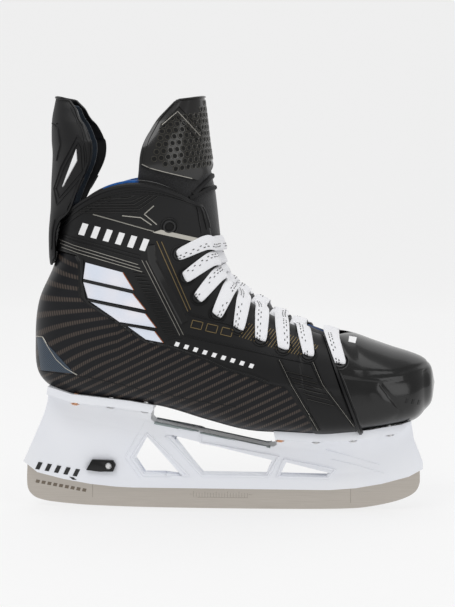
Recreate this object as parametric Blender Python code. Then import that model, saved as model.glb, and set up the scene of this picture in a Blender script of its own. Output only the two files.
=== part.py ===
"""Ice hockey skate for the right foot: carbon boot, laced tongue, tendon guard, blade holder and runner.

Metres, +Z up, toe along +X, outer side of the foot at -Y. The origin is the middle of the runner's
edge, where the skate stands on the ice.
"""

import math

import bmesh
import bpy
import numpy as np
from mathutils import Matrix, Vector

MM = 0.001
GAP = 0.3 * MM  # clearance between pieces that touch
SEAT_GAP = 0.7 * MM  # between the sole and the holder, whose facets differ

# Boot
BOOT_LENGTH = 298 * MM  # heel to toe tip
BOOT_HEIGHT = 184 * MM  # ball of the sole to the top of the collar
BOOT_WIDTH = 102 * MM  # across the ball of the foot
STAND_HEIGHT = 60.5 * MM  # ice to the sole at the ball
SHELL_WALL = 3.0 * MM
LINER_WALL = 4.0 * MM
FACING_WALL = 1.8 * MM
CAP_WALL = 3.0 * MM
CAP_SEAM = 0.8 * MM
FOOTBED_THICK = 4.0 * MM

# Lacing
EYELET_HOLE = 3.0 * MM  # radius
EYELET_BARREL = 0.35 * MM
EYELET_FLANGE = 5.2 * MM  # radius
EYELET_RISE = 1.0 * MM
EYELET_SEAT = 0.5 * MM  # depth of the flat seat in the facing
EYELET_PITCH = 18.2 * MM
LACED_EYELETS = 8  # on each facing, besides the one in the toe cap and the free top one
LACE_WIDTH = 4.2 * MM  # squeezed to pass the eyelets
LACE_THICK = 0.9 * MM

# Tongue
TONGUE_THICK = 6.0 * MM
SHIELD_THICK = 1.6 * MM

# Tendon guard
GUARD_WALL = 3.6 * MM
GUARD_PAD = 4.0 * MM

# Blade
RUNNER_THICK = 3.0 * MM
RUNNER_LENGTH = 296.5 * MM
RUNNER_FLAT = 20 * MM  # level stretch at mid rocker
RUNNER_HIDDEN = 5.5 * MM  # height of steel inside the holder
SLOT_DEPTH = 9 * MM
SLOT_CLEAR = 0.4 * MM

# Holder
HOLDER_WIDTH = 13 * MM
FLANGE_THICK = 3.2 * MM
FLANGE_SHARE = 0.66  # of the boot's half width
RIVET_HEAD = 3.6 * MM  # radius
RIVET_HEAD_RISE = 1.2 * MM
RIVET_SHANK = 1.9 * MM  # radius
LEVER_THICK = 3.0 * MM
LEVER_LENGTH = 22 * MM
LEVER_SCREW = 2.5 * MM  # head radius

# The pattern last: millimetres on a 298 x 184 x 102 last, heights from the sole at the ball.
PATTERN = (298.0, 184.0, 102.0)
# sole or back x, z | throat edge x, z | half width | throat half gap | lift | widest at | squareness
BOOT_STATIONS = (
    (104, 1, 77, 70.5, 49.0, 19, 0, 0.40, 0.58, 3.5),
    (78, -1, 60, 76.5, 51.0, 20, 0, 0.40, 0.56, 3.0),
    (50, 0, 42, 83.5, 50.0, 20, 0, 0.40, 0.56, 2.5),
    (20, 1.5, 24, 94, 47.0, 20, 0, 0.40, 0.57, 2.0),
    (-10, 8.5, 10, 105, 44.0, 20, 0, 0.40, 0.60, 1.5),
    (-45, 18, -1, 118, 41.0, 21, 0, 0.42, 0.64, 1.0),
    (-85, 23, -5.5, 130, 39.0, 22, 0, 0.44, 0.68, 0.5),
    (-118, 27, -7.5, 140, 38.0, 23, 0, 0.45, 0.76, 0),
    (-138, 41, -9, 149, 38.5, 24, 1, 0.46, 0.88, 0),
    (-141, 68, -10, 155, 41.0, 25, 5, 0.47, 0.96, 0),
    (-138, 97, -11.5, 160, 44.0, 26, 12, 0.48, 1.0, 0),
    (-126, 125, -13, 164.5, 47.0, 27, 26, 0.49, 1.0, 0),
    (-119, 156, -15, 168, 49.0, 28, 46, 0.50, 1.0, 0),
)
CAP_STATIONS = (
    (104.5, 1, 77.5, 70.5, 49.0, 19, 0, 0.40, 0.58, 3.5),
    (112, 1.7, 87, 72.5, 48.5, 15, 0, 0.42, 0.60, 3.8),
    (119, 2.7, 97, 72, 47.5, 0, 0, 0.42, 0.64, 4.0),
    (128, 4.1, 111, 67.2, 45.5, 0, 0, 0.44, 0.70, 4.3),
    (137, 5.5, 126, 62, 42.0, 0, 0, 0.46, 0.76, 4.7),
    (145, 8.1, 140, 57.7, 36.5, 0, 0, 0.48, 0.82, 5.2),
    (151, 13.5, 149.5, 53.5, 28.0, 0, 0, 0.50, 0.88, 5.7),
    (155.3, 22.5, 154.8, 47.5, 17.0, 0, 0, 0.50, 0.95, 6.1),
    (157.4, 36, 157.4, 36, 0.0, 0, 0, 0.50, 1.0, 6.5),
)
# Where the facing's lower edge runs round the section: 0 at the sole, 0.5 at the widest, 1 at the throat.
FACING_EDGE = (0.57, 0.56, 0.555, 0.565, 0.56, 0.55, 0.57, 0.59, 0.60, 0.56, 0.405, 0.14, 0.02)
EYELET_COLUMN = 2.3  # mid facet, counted in columns from the facing's lower edge
FIRST_EYELET = 18.5 * MM  # from the shell's front edge
CAP_EYELET = (0.62, 2.0)  # row and column
TOP_EYELET = (13.73, 3.45)  # the free one at the collar, row and column
HALFWAY = 1.9  # columns from the throat edge to midway to the eyelets
SHELL_COLUMNS = 4
FACING_COLUMNS = 6
ROWS_PER_STATION = 1.35


# ---- small tools ---------------------------------------------------------------------------------


def clear_scene():
    for obj in list(bpy.data.objects):
        bpy.data.objects.remove(obj)


def material(name, colour, roughness, metallic=0.0):
    mat = bpy.data.materials.new(name)
    mat.use_nodes = True
    shader = mat.node_tree.nodes["Principled BSDF"]
    shader.inputs["Base Color"].default_value = (*colour, 1.0)
    shader.inputs["Roughness"].default_value = roughness
    shader.inputs["Metallic"].default_value = metallic
    mat.diffuse_color = (*colour, 1.0)
    return mat


def add_object(name, bm, mat, pivot=(0, 0, 0), smooth=35):
    """Puts a finished bmesh in the scene, with its origin at the pivot."""
    bmesh.ops.translate(bm, verts=bm.verts, vec=-Vector(pivot))
    bmesh.ops.recalc_face_normals(bm, faces=bm.faces)
    mesh = bpy.data.meshes.new(name)
    bm.to_mesh(mesh)
    bm.free()
    mesh.shade_smooth()
    mesh.set_sharp_from_angle(angle=math.radians(smooth))
    mesh.materials.append(mat)
    obj = bpy.data.objects.new(name, mesh)
    obj.location = pivot
    bpy.context.scene.collection.objects.link(obj)
    return obj


def helper(name, bm):
    """A cutter: shown as a wire and left out of renders."""
    obj = add_object(name, bm, material(name, (0.5, 0.5, 0.5), 0.5))
    obj.hide_render = True
    obj.display_type = "WIRE"
    return obj


def boolean(obj, tool, operation="DIFFERENCE"):
    step = obj.modifiers.new(tool.name, "BOOLEAN")
    step.operation = operation
    step.solver = "EXACT"
    step.object = tool


def spline(rows, t):
    """Catmull-Rom curve through the rows, at t counted in rows."""
    rows = np.asarray(rows, float)
    last = len(rows) - 1
    i = min(int(t), last - 1)
    f = t - i
    a = rows[i - 1] if i > 0 else 2 * rows[0] - rows[1]
    b, c = rows[i], rows[i + 1]
    d = rows[i + 2] if i + 2 <= last else 2 * rows[last] - rows[last - 1]
    return b + 0.5 * f * (c - a + f * (2 * a - 5 * b + 4 * c - d + f * (3 * (b - c) + d - a)))


def profile_height(points, x):
    """Height of a side-view profile at x, straight between its points, whose x grows."""
    xs, zs = zip(*points)
    return float(np.interp(x, xs, zs))


def loft(rings, closed_ends=True):
    """A solid through rings of equal length, each a closed loop of points."""
    bm = bmesh.new()
    loops = [[bm.verts.new(p) for p in ring] for ring in rings]
    for a, b in zip(loops, loops[1:]):
        for i in range(len(a)):
            j = (i + 1) % len(a)
            bm.faces.new((a[i], a[j], b[j], b[i]))
    if closed_ends:
        bm.faces.new(loops[0][::-1])
        bm.faces.new(loops[-1])
    return bm


def extrude_outline(outline, y_low, y_high):
    """A plate: a side-view outline (x, z) between two values of y."""
    bm = bmesh.new()
    low = [bm.verts.new((x, y_low, z)) for x, z in outline]
    high = [bm.verts.new((x, y_high, z)) for x, z in outline]
    count = len(outline)
    bm.faces.new(low)
    bm.faces.new(high[::-1])
    for i in range(count):
        j = (i + 1) % count
        bm.faces.new((low[i], high[i], high[j], low[j]))
    bmesh.ops.triangulate(bm, faces=[f for f in bm.faces if len(f.verts) > 4])
    return bm


def turned(profile, frame, sides):
    """A closed ring or knob: profile points (radius, height) turned about the frame's local Z."""
    bm = bmesh.new()
    rings = []
    for radius, height in profile:
        if radius < 1e-9:
            rings.append([bm.verts.new(frame @ Vector((0, 0, height)))])
            continue
        turns = [2 * math.pi * k / sides for k in range(sides)]
        points = [Vector((radius * math.cos(a), radius * math.sin(a), height)) for a in turns]
        rings.append([bm.verts.new(frame @ p) for p in points])
    hollow = profile[0][0] > 1e-9 and profile[-1][0] > 1e-9
    pairs = list(zip(rings, rings[1:])) + ([(rings[-1], rings[0])] if hollow else [])
    for a, b in pairs:
        for k in range(sides):
            n = (k + 1) % sides
            corners = [a[k % len(a)], a[n % len(a)], b[n % len(b)], b[k % len(b)]]
            bm.faces.new(list(dict.fromkeys(corners)))
    return bm


def frame_at(point, axis, across=Vector((1, 0, 0))):
    """A local frame whose Z is the axis."""
    z = Vector(axis).normalized()
    x = (across - across.dot(z) * z).normalized()
    y = z.cross(x)
    return Matrix.Translation(point) @ Matrix((x, y, z)).transposed().to_4x4()


# ---- the boot's surface --------------------------------------------------------------------------


def graded(station):
    """A pattern station scaled to this boot, in metres."""
    bx, bz, tx, tz, half, gap, lift, widest, square, shift = station
    length, height, width = BOOT_LENGTH, BOOT_HEIGHT, BOOT_WIDTH
    kx, kz, ky = length / PATTERN[0], height / PATTERN[1], width / PATTERN[2]
    z0 = STAND_HEIGHT
    return (
        bx * kx, z0 + bz * kz, tx * kx, z0 + tz * kz, half * ky, gap * ky, lift * kz,
        widest, square, shift * ky,
    )


BOOT = [graded(s) for s in BOOT_STATIONS]
CAP = [graded(s) for s in CAP_STATIONS]


def skin(stations, u, v):
    """Point on the boot's outer surface: u counts stations, v runs -1 to 1 round the section."""
    bx, bz, tx, tz, half, gap, lift, widest, square, shift = spline(stations, u)
    half, gap = max(half, 0.0), max(gap, 0.0)
    turn = abs(v) * math.pi
    if turn <= math.pi / 2:
        along = widest * (1 - math.cos(turn) ** square)
        wide = half * math.sin(turn) ** square
    else:
        along = widest + (1 - widest) * math.sin(turn - math.pi / 2)
        wide = gap + (half - gap) * math.cos(turn - math.pi / 2)
    rise = 2 * along * (1 - along) * lift
    x = bx + along * (tx - bx)
    z = bz + along * (tz - bz) + rise
    return Vector((x, math.copysign(wide, v) + shift, z))


class Skin:
    """The faceted grid that every layer of the boot shares, so that the layers nest."""

    def __init__(self, stations, edge, rows, outward):
        self.stations = stations
        self.outward = outward
        self.us = np.linspace(0, len(stations) - 1, rows + 1)
        self.half = SHELL_COLUMNS + FACING_COLUMNS
        self.points, self.normals = {}, {}
        for i, u in enumerate(self.us):
            for j in range(-self.half, self.half + 1):
                v = math.copysign(self.turn(edge, u, abs(j)), j)
                self.points[i, j] = skin(stations, u, v)
        for i, j in self.points:
            n = self.normal(i, j)
            if self.closed_at(i) and abs(j) == self.half:
                n = (n + self.normal(i, -j)).normalized()
            self.normals[i, j] = n

    def closed_at(self, i):
        return (self.points[i, self.half] - self.points[i, -self.half]).length < 0.01 * MM

    def turn(self, edge, u, j):
        split = float(np.interp(u, range(len(edge)), edge))
        if j <= SHELL_COLUMNS:
            return split * j / SHELL_COLUMNS
        return split + (1 - split) * (j - SHELL_COLUMNS) / FACING_COLUMNS

    def normal(self, i, j):
        rows, cols = len(self.us) - 1, self.half
        i0, i1 = max(i - 1, 0), min(i + 1, rows)
        j0, j1 = max(j - 1, -cols), min(j + 1, cols)
        along = self.points[i1, j] - self.points[i0, j]
        across = self.points[i, j1] - self.points[i, j0]
        n = along.cross(across) * self.outward
        if n.length < 1e-9:
            return Vector((1, 0, 0))
        return n.normalized()

    def at(self, i, j, offset):
        return self.points[i, j] + self.normals[i, j] * offset

    def facet(self, row, column, side, offset=0.0):
        """Point and outward normal inside the facets, at fractional row and column."""
        i, j = min(int(row), len(self.us) - 2), min(int(column), self.half - 1)
        f, g = row - i, column - j
        a, b = self.at(i, side * j, offset), self.at(i + 1, side * j, offset)
        c, d = self.at(i, side * (j + 1), offset), self.at(i + 1, side * (j + 1), offset)
        point = (a * (1 - f) + b * f) * (1 - g) + (c * (1 - f) + d * f) * g
        n = (d - a).cross(c - b).normalized()
        return point, (n if n.dot(self.normals[i, side * j]) > 0 else -n)

    def layer(self, near, far, keep):
        """The solid between two offsets, over the facets for which keep(row, column) is true."""
        bm = bmesh.new()
        made = {}

        def vertex(i, j, offset):
            key = (i, j, offset)
            if key not in made:
                made[key] = bm.verts.new(self.at(i, j, offset))
            return made[key]

        edges = {}
        for i in range(len(self.us) - 1):
            for j in range(-self.half, self.half):
                if not keep(i, j if j >= 0 else -j - 1, 1 if j >= 0 else -1):
                    continue
                corners = [(i, j), (i + 1, j), (i + 1, j + 1), (i, j + 1)]
                for part in (corners[:3], [corners[0], *corners[2:]]):
                    bm.faces.new([vertex(*c, far) for c in part])
                    bm.faces.new([vertex(*c, near) for c in reversed(part)])
                for a, b in zip(corners, corners[1:] + corners[:1]):
                    edges[a, b] = True
        for a, b in edges:
            seam = abs(a[1]) == abs(b[1]) == self.half and self.closed_at(a[0]) and self.closed_at(b[0])
            pole = (self.points[a] - self.points[b]).length < 0.01 * MM
            if (b, a) not in edges and not seam and not pole:
                bm.faces.new((vertex(*b, far), vertex(*a, far), vertex(*a, near), vertex(*b, near)))
        bmesh.ops.remove_doubles(bm, verts=bm.verts, dist=0.01 * MM)
        return bm


BOOT_SKIN = Skin(BOOT, FACING_EDGE, round((len(BOOT) - 1) * ROWS_PER_STATION), outward=1)
CAP_SKIN = Skin(CAP, FACING_EDGE[:1] * len(CAP), len(CAP) + 2, outward=-1)


def sole_line():
    """Side-view profile of the underside, heel to toe, as points (x, z)."""
    points = [BOOT_SKIN.points[i, 0] for i in range(len(BOOT_SKIN.us))]
    points += [CAP_SKIN.points[i, 0] for i in range(1, len(CAP_SKIN.us))]
    heel = min(range(len(points)), key=lambda k: points[k].x)
    under = [p for p in points[:heel] if p.z < BOOT[0][1] + 40 * MM] + points[len(BOOT_SKIN.us):]
    return sorted((p.x, p.z) for p in under)


SOLE = sole_line()


# ---- boot pieces ---------------------------------------------------------------------------------


def inner(i, j, side):
    """True for the facets that the liner covers: it stops short of the eyelet rows."""
    column = j + 0.5
    v = BOOT_SKIN.turn(FACING_EDGE, BOOT_SKIN.us[i], column)
    return v < 0.64


def make_boot(cutters):
    carbon = material("carbon_composite", (0.02, 0.02, 0.024), 0.35)
    moulded = material("moulded_black", (0.012, 0.012, 0.013), 0.4)
    glossy = material("toe_cap_black", (0.012, 0.012, 0.012), 0.15)
    blue = material("liner_blue", (0.01, 0.12, 0.42), 0.85)
    felt = material("felt_grey", (0.18, 0.18, 0.19), 0.95)
    everywhere = lambda i, j, side: True
    shell = add_object("boot_shell", BOOT_SKIN.layer(-SHELL_WALL, 0, everywhere), carbon)
    boolean(shell, cutters)
    for name, side in (("facing_outer", -1), ("facing_inner", 1)):
        keep = lambda i, j, s, side=side: s == side and j >= SHELL_COLUMNS
        facing = add_object(name, BOOT_SKIN.layer(GAP, GAP + FACING_WALL, keep), moulded)
        boolean(facing, cutters)
    near = -(SHELL_WALL + GAP + LINER_WALL)
    add_object("liner", BOOT_SKIN.layer(near, -(SHELL_WALL + GAP), inner), blue)
    bm = CAP_SKIN.layer(-CAP_WALL, 0, everywhere)
    bmesh.ops.translate(bm, verts=bm.verts, vec=(CAP_SEAM, 0, 0))
    boolean(add_object("toe_cap", bm, glossy), cutters)
    add_object("footbed", footbed(), felt)


def footbed():
    """A padded insole on the liner, from the heel into the toe cap."""
    low = -(SHELL_WALL + GAP + LINER_WALL + 4 * GAP)
    columns = (-2, -1, 0, 1, 2)
    heel = max(i for i, u in enumerate(BOOT_SKIN.us) if u <= 7)
    places = [(BOOT_SKIN, i) for i in range(heel, -1, -1)]
    places += [(CAP_SKIN, i) for i in range(2, len(CAP_SKIN.us)) if CAP_SKIN.us[i] < 4.5]
    rings = []
    for grid, i in places:
        under = [grid.at(i, j, low) for j in columns]
        over = [grid.at(i, j, low - FOOTBED_THICK) for j in reversed(columns)]
        rings.append(under + over)
    return loft(rings)


# ---- eyelets -------------------------------------------------------------------------------------


def eyelet_places():
    """(level, side, point on the outer face of the facing or cap, normal, row) from toe to top."""
    column = SHELL_COLUMNS + EYELET_COLUMN
    rows = np.linspace(0, len(BOOT_SKIN.us) - 1.01, 400)
    line = [BOOT_SKIN.facet(r, column, -1)[0] for r in rows]
    run = np.concatenate([[0], np.cumsum([(b - a).length for a, b in zip(line, line[1:])])])
    wanted = [FIRST_EYELET + k * EYELET_PITCH for k in range(LACED_EYELETS)]
    places = {}
    for side in (-1, 1):
        point, normal = CAP_SKIN.facet(CAP_EYELET[0], SHELL_COLUMNS + CAP_EYELET[1], side)
        places[0, side] = (point + Vector((CAP_SEAM, 0, 0)), normal, None)
        for level, distance in enumerate(wanted, 1):
            row = float(np.interp(distance, run, rows))
            point, normal = BOOT_SKIN.facet(row, column, side, GAP + FACING_WALL)
            places[level, side] = (point, normal, row)
        row = TOP_EYELET[0]
        point, normal = BOOT_SKIN.facet(row, SHELL_COLUMNS + TOP_EYELET[1], side, GAP + FACING_WALL)
        places[LACED_EYELETS + 1, side] = (point, normal, row)
    return places


def make_eyelets(places):
    mat = material("eyelet_black", (0.02, 0.02, 0.02), 0.35, 0.6)
    low = -EYELET_SEAT + GAP
    barrel, hole = EYELET_HOLE + EYELET_BARREL, EYELET_HOLE
    foot = -(FACING_WALL + SHELL_WALL)
    profile = [(hole, foot), (barrel, foot), (barrel, low), (EYELET_FLANGE, low)]
    profile += [(EYELET_FLANGE * 0.9, low + EYELET_RISE), (hole * 1.1, low + EYELET_RISE)]
    for (level, side), (point, normal, _) in places.items():
        name = f"eyelet_{'outer' if side < 0 else 'inner'}_{level + 1}"
        add_object(name, turned(profile, frame_at(point, normal), 8), mat)


def eyelet_cutter(places, bm):
    seat, hole = EYELET_FLANGE + 0.6 * MM, EYELET_HOLE + EYELET_BARREL + GAP
    profile = [(0, -12 * MM), (hole, -12 * MM), (hole, -EYELET_SEAT), (seat, -EYELET_SEAT)]
    profile += [(seat, 6 * MM), (0, 6 * MM)]
    for point, normal, _ in places.values():
        join(bm, turned(profile, frame_at(point, normal), 8))


def join(bm, other):
    mesh = bpy.data.meshes.new("joined")
    other.to_mesh(mesh)
    other.free()
    bm.from_mesh(mesh)
    bpy.data.meshes.remove(mesh)


# ---- tongue and tendon guard: sheets that wrap the leg --------------------------------------------

# centre line x, z | half width | depth | half sweep in degrees | thickness share
TONGUE_STATIONS = (
    (104, 56.5, 22, 12, 60, 0.7),
    (96, 63.5, 24, 18, 62, 0.9),
    (88, 69, 26, 34, 64, 1),
    (68, 77.8, 27, 41, 65, 1),
    (48, 85.7, 28, 47, 65, 1),
    (28, 98.3, 29, 50, 65, 1),
    (9, 111, 29.7, 54.5, 66, 1),
    (-0.5, 124, 30.5, 55.5, 68, 1),
    (-1, 140, 31.2, 59, 72, 1),
    (-2.5, 156, 31.7, 60.5, 76, 1),
    (-5, 178, 34, 56, 84, 1),
    (-7.5, 190, 37, 55, 88, 1),
    (-9.5, 202, 41, 50, 90, 1),
    (-11.5, 216, 40, 46, 90, 1),
    (-13, 229, 34, 38, 90, 1),
    (-14.2, 239, 27, 27, 90, 1),
    (-16, 249, 17, 13, 90, 1),
)
TONGUE_FOLD = 10.17  # station of the fold
SHIELD_FOOT = 11.3  # station of the shield's lower edge
# the guard's centre line runs down the back of the leg
GUARD_STATIONS = (
    (-129.3, 124, 17, 3.6, 90, 0.45),
    (-130, 132.5, 23, 7, 90, 0.8),
    (-130, 147.5, 26, 7.5, 90, 1),
    (-129.2, 159, 29, 11, 90, 1),
    (-128.6, 167.5, 33, 19, 90, 1),
    (-128, 185.5, 41, 26.5, 90, 1),
    (-127, 205.5, 44, 34.5, 90, 1),
    (-127.6, 217.5, 42.5, 34, 90, 1),
    (-127.3, 232, 36, 28, 90, 1),
    (-125.5, 242.5, 27, 21, 90, 1),
    (-122.5, 248.5, 17, 12, 90, 1),
)
PAD_RANGE = (4.5, 8.5)


def leg_station(station):
    x, z, half, depth, sweep, share = station
    kx, kz, ky = BOOT_LENGTH / PATTERN[0], BOOT_HEIGHT / PATTERN[1], BOOT_WIDTH / PATTERN[2]
    return (x * kx, STAND_HEIGHT + z * kz, half * ky, depth * kx, sweep, share)


TONGUE = [leg_station(s) for s in TONGUE_STATIONS]
GUARD = [leg_station(s) for s in GUARD_STATIONS]


def toe_in(x):
    """How far the forefoot bends towards the inner side at x."""
    bends = sorted((s[2], s[9]) for s in BOOT)
    return profile_height(bends, x)


def wrap(stations, t, share, offset, facing):
    """Point of a sheet that curves round the leg: share runs -1 to 1 across it. facing is 1 for
    a sheet in front of the leg and -1 behind it."""
    x, z, half, depth, sweep, thin = spline(stations, t)
    if offset < 0:
        offset *= thin
    step = 0.05
    last = len(stations) - 1
    a, b = spline(stations, max(t - step, 0)), spline(stations, min(t + step, last))
    tangent = Vector((b[0] - a[0], 0, b[1] - a[1])).normalized()
    n = Vector((tangent.z, 0, -tangent.x)) * facing
    angle = math.radians(sweep) * share
    centre = Vector((x, 0, z))
    inset = (depth + offset) * (1 - math.cos(angle))
    side = (half + offset) * math.sin(angle) + (toe_in(x) if facing > 0 else 0)
    return centre + n * (offset - inset) + Vector((0, side, 0))


def sheet(stations, t_from, t_to, near, far, facing, rows, columns=6, span=1.0):
    """A solid sheet between two offsets from the wrap."""
    rings = []
    shares = [span * (2 * c / columns - 1) for c in range(columns + 1)]
    for t in np.linspace(t_from, t_to, rows + 1):
        over = [wrap(stations, t, s, far, facing) for s in shares]
        under = [wrap(stations, t, s, near, facing) for s in reversed(shares)]
        rings.append(over + under)
    return loft(rings)


def make_tongue():
    felt = material("tongue_black", (0.02, 0.02, 0.022), 0.8)
    shield = material("shield_black", (0.012, 0.012, 0.012), 0.25)
    t_gap = 0.03
    top = len(TONGUE) - 1
    bm = sheet(TONGUE, 0, TONGUE_FOLD, -TONGUE_THICK, -GAP, 1, 14, 8)
    add_object("tongue_lower", bm, felt)
    pivot = wrap(TONGUE, TONGUE_FOLD, 0, 2 * MM, 1)
    bm = sheet(TONGUE, TONGUE_FOLD + t_gap, top, -TONGUE_THICK, 0, 1, 8, 10)
    add_object("tongue_upper", bm, felt, pivot)
    bm = sheet(TONGUE, SHIELD_FOOT, top - 0.2, GAP * 2, GAP * 2 + SHIELD_THICK, 1, 8, 10, 0.97)
    add_object("tongue_shield", bm, shield, pivot)


def make_guard():
    moulded = material("guard_black", (0.02, 0.02, 0.02), 0.5)
    pad = material("guard_pad_blue", (0.01, 0.03, 0.07), 0.9)
    top = len(GUARD) - 1
    pivot = wrap(GUARD, 0, 0, 0, -1)
    bm = sheet(GUARD, 0, top, -GUARD_WALL, 0, -1, 2 * top, 8)
    add_object("tendon_guard", bm, moulded, pivot)
    near = -(GUARD_WALL + 2 * GAP + GUARD_PAD)
    rows = round(2 * (PAD_RANGE[1] - PAD_RANGE[0]))
    bm = sheet(GUARD, *PAD_RANGE, near, -(GUARD_WALL + 2 * GAP), -1, rows, 6, 0.75)
    add_object("tendon_guard_pad", bm, pad, pivot)


# ---- holder and runner ---------------------------------------------------------------------------

# where the holder's lower edge lies on the steel, heel to toe
HOLDER_EDGE = (
    (-149, 29), (-140, 27), (-120, 22), (-100, 18.5), (-80, 16.5), (-40, 15), (0, 14.5),
    (50, 15.5), (80, 15.6), (100, 17.2), (120, 20.8), (140, 26.4), (150.5, 31),
)
RUNNER_EDGE = (
    (-148.5, 16), (-146, 12.5), (-140, 7), (-130, 4.5), (-115, 2.5), (-100, 1.5), (-60, 0.4),
)
RUNNER_TOE = ((60, 0.2), (95, 1), (110, 2.5), (125, 5.5), (135, 8.5), (142, 11.5), (146, 15.5), (148, 19.5))
PATTERN_RUNNER = 296.5
# outline and openings: x, share of the height between the lower edge and the sole
HOLDER_REAR = ((-150.5, 0.1), (-148, 0.19), (-141, 0.44), (-134, 0.70), (-131, 0.84), (-128, 1.1))
HOLDER_GAP = (
    (-49.5, 1.1), (-50, 0.98), (-53, 0.9), (-53, 0.83), (-50, 0.80), (34, 0.735), (39, 0.745),
    (41.5, 0.78), (41.5, 0.86), (39.5, 1.1),
)
HOLDER_TOE = ((141, 1.1), (144, 0.62), (148, 0.33), (150.5, 0.14), (150.5, 0.03))
TRUSS = {
    "left": ((-60, 0.17), (-66, 0.33), (-56.5, 0.61), (-30, 0.17)),
    "middle": ((-15, 0.22), (-39, 0.68), (38, 0.50), (33, 0.25)),
    "right": ((43.5, 0.24), (48.5, 0.47), (81, 0.29), (78, 0.22)),
}
FLARE = (  # depth below the sole in mm, share of the way from web to flange edge
    (-3, 1), (3.2, 1), (3.4, 0.5), (6, 0.38), (10, 0.26), (16, 0.14), (24, 0.04), (32, 0),
)
RIVETS = (-108.5, -82, -56, 44.5, 71, 98, 125)
RIVET_FROM_EDGE = 5 * MM
LEVER_AT = (-85.5, 32.8)
LEVER_OUTLINE = ((-17, -3.3), (-6.5, -4.5), (3.5, -4.3), (5.5, 0.7), (3.5, 4.2), (-12.5, 4.7))


def runner_x(x):
    return x * RUNNER_LENGTH / PATTERN_RUNNER


def holder_low(x):
    """Height of the holder's lower edge at x."""
    return profile_height([(runner_x(px), pz * MM) for px, pz in HOLDER_EDGE], x)


def sole_height(x):
    return profile_height(SOLE, x)


def web(x, share):
    """A point of the holder's side view: x on the pattern, height as a share of the way up."""
    x = runner_x(x)
    low = holder_low(x)
    return x, low + share * (sole_height(x) - low)


def holder_outline():
    bottom = [(runner_x(x), z * MM) for x, z in reversed(HOLDER_EDGE[1:-1])]
    sides = [web(*p) for p in HOLDER_REAR + HOLDER_GAP + HOLDER_TOE]
    return sides + bottom


def flange_half(x):
    """Half width of the flange at x."""
    halves = [(BOOT_SKIN.points[i, 0].x, BOOT_SKIN.points[i, SHELL_COLUMNS].y) for i in range(11)]
    halves = sorted(halves) + [(0.9 * CAP[-1][0], 0.55 * halves[0][1])]
    return FLANGE_SHARE * profile_height(halves, x)


def envelope():
    """What bounds the holder sideways: a plate below that flares out to the flanges."""
    rings = []
    web_half = HOLDER_WIDTH / 2
    for x in np.linspace(runner_x(-156), runner_x(156), 15):
        top, reach = sole_height(x), flange_half(x) - web_half
        side = [(web_half + share * reach, top - depth * MM) for depth, share in FLARE]
        side.append((web_half, holder_low(x) - 8 * MM))
        ring = [(x, y, z) for y, z in side] + [(x, -y, z) for y, z in reversed(side)]
        rings.append(ring)
    return loft(rings)


def sole_cutter():
    """The boot's underside with the seating clearance, as a solid that cuts the holder."""
    rings = []
    seam = Vector((CAP_SEAM, 0, 0))
    columns = range(-6, 7)
    for i in range(len(CAP_SKIN.us) - 3, 1, -1):
        rings.append([CAP_SKIN.at(i, j, SEAT_GAP) + seam for j in columns])
    for i in range(0, 14):
        rings.append([BOOT_SKIN.at(i, j, SEAT_GAP) for j in columns])
    return loft(rings)


def runner_outline():
    edge = [(runner_x(x), z * MM) for x, z in RUNNER_EDGE]
    toe = [(runner_x(x), z * MM) for x, z in RUNNER_TOE]
    flat = [(-RUNNER_FLAT / 2, 0), (RUNNER_FLAT / 2, 0)]
    top = []
    for x, hidden in ((148, 0.3), (140, 0.8), (120, 1), (80, 1), (0, 1), (-80, 1), (-120, 1), (-148.5, 0.2)):
        px = runner_x(x)
        top.append((px, holder_low(px) + hidden * RUNNER_HIDDEN))
    return edge + flat + toe + top


def slot_outline():
    xs = [runner_x(x) for x in (-156, -148, -120, -80, 0, 80, 120, 149.4)]
    low = [(x, holder_low(x) - 12 * MM) for x in xs]
    high = [(x, holder_low(x) + SLOT_DEPTH) for x in reversed(xs)]
    return low + high


def rivet_frames():
    frames = {}
    for n, px in enumerate(RIVETS, 1):
        x = runner_x(px)
        slope = (sole_height(x + 4 * MM) - sole_height(x - 4 * MM)) / (8 * MM)
        axis = Vector((-slope, 0, 1)).normalized()
        for side in (-1, 1):
            y = side * (flange_half(x) - RIVET_FROM_EDGE)
            frames[n, side] = frame_at(Vector((x, y, sole_height(x))), axis)
    return frames


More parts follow.
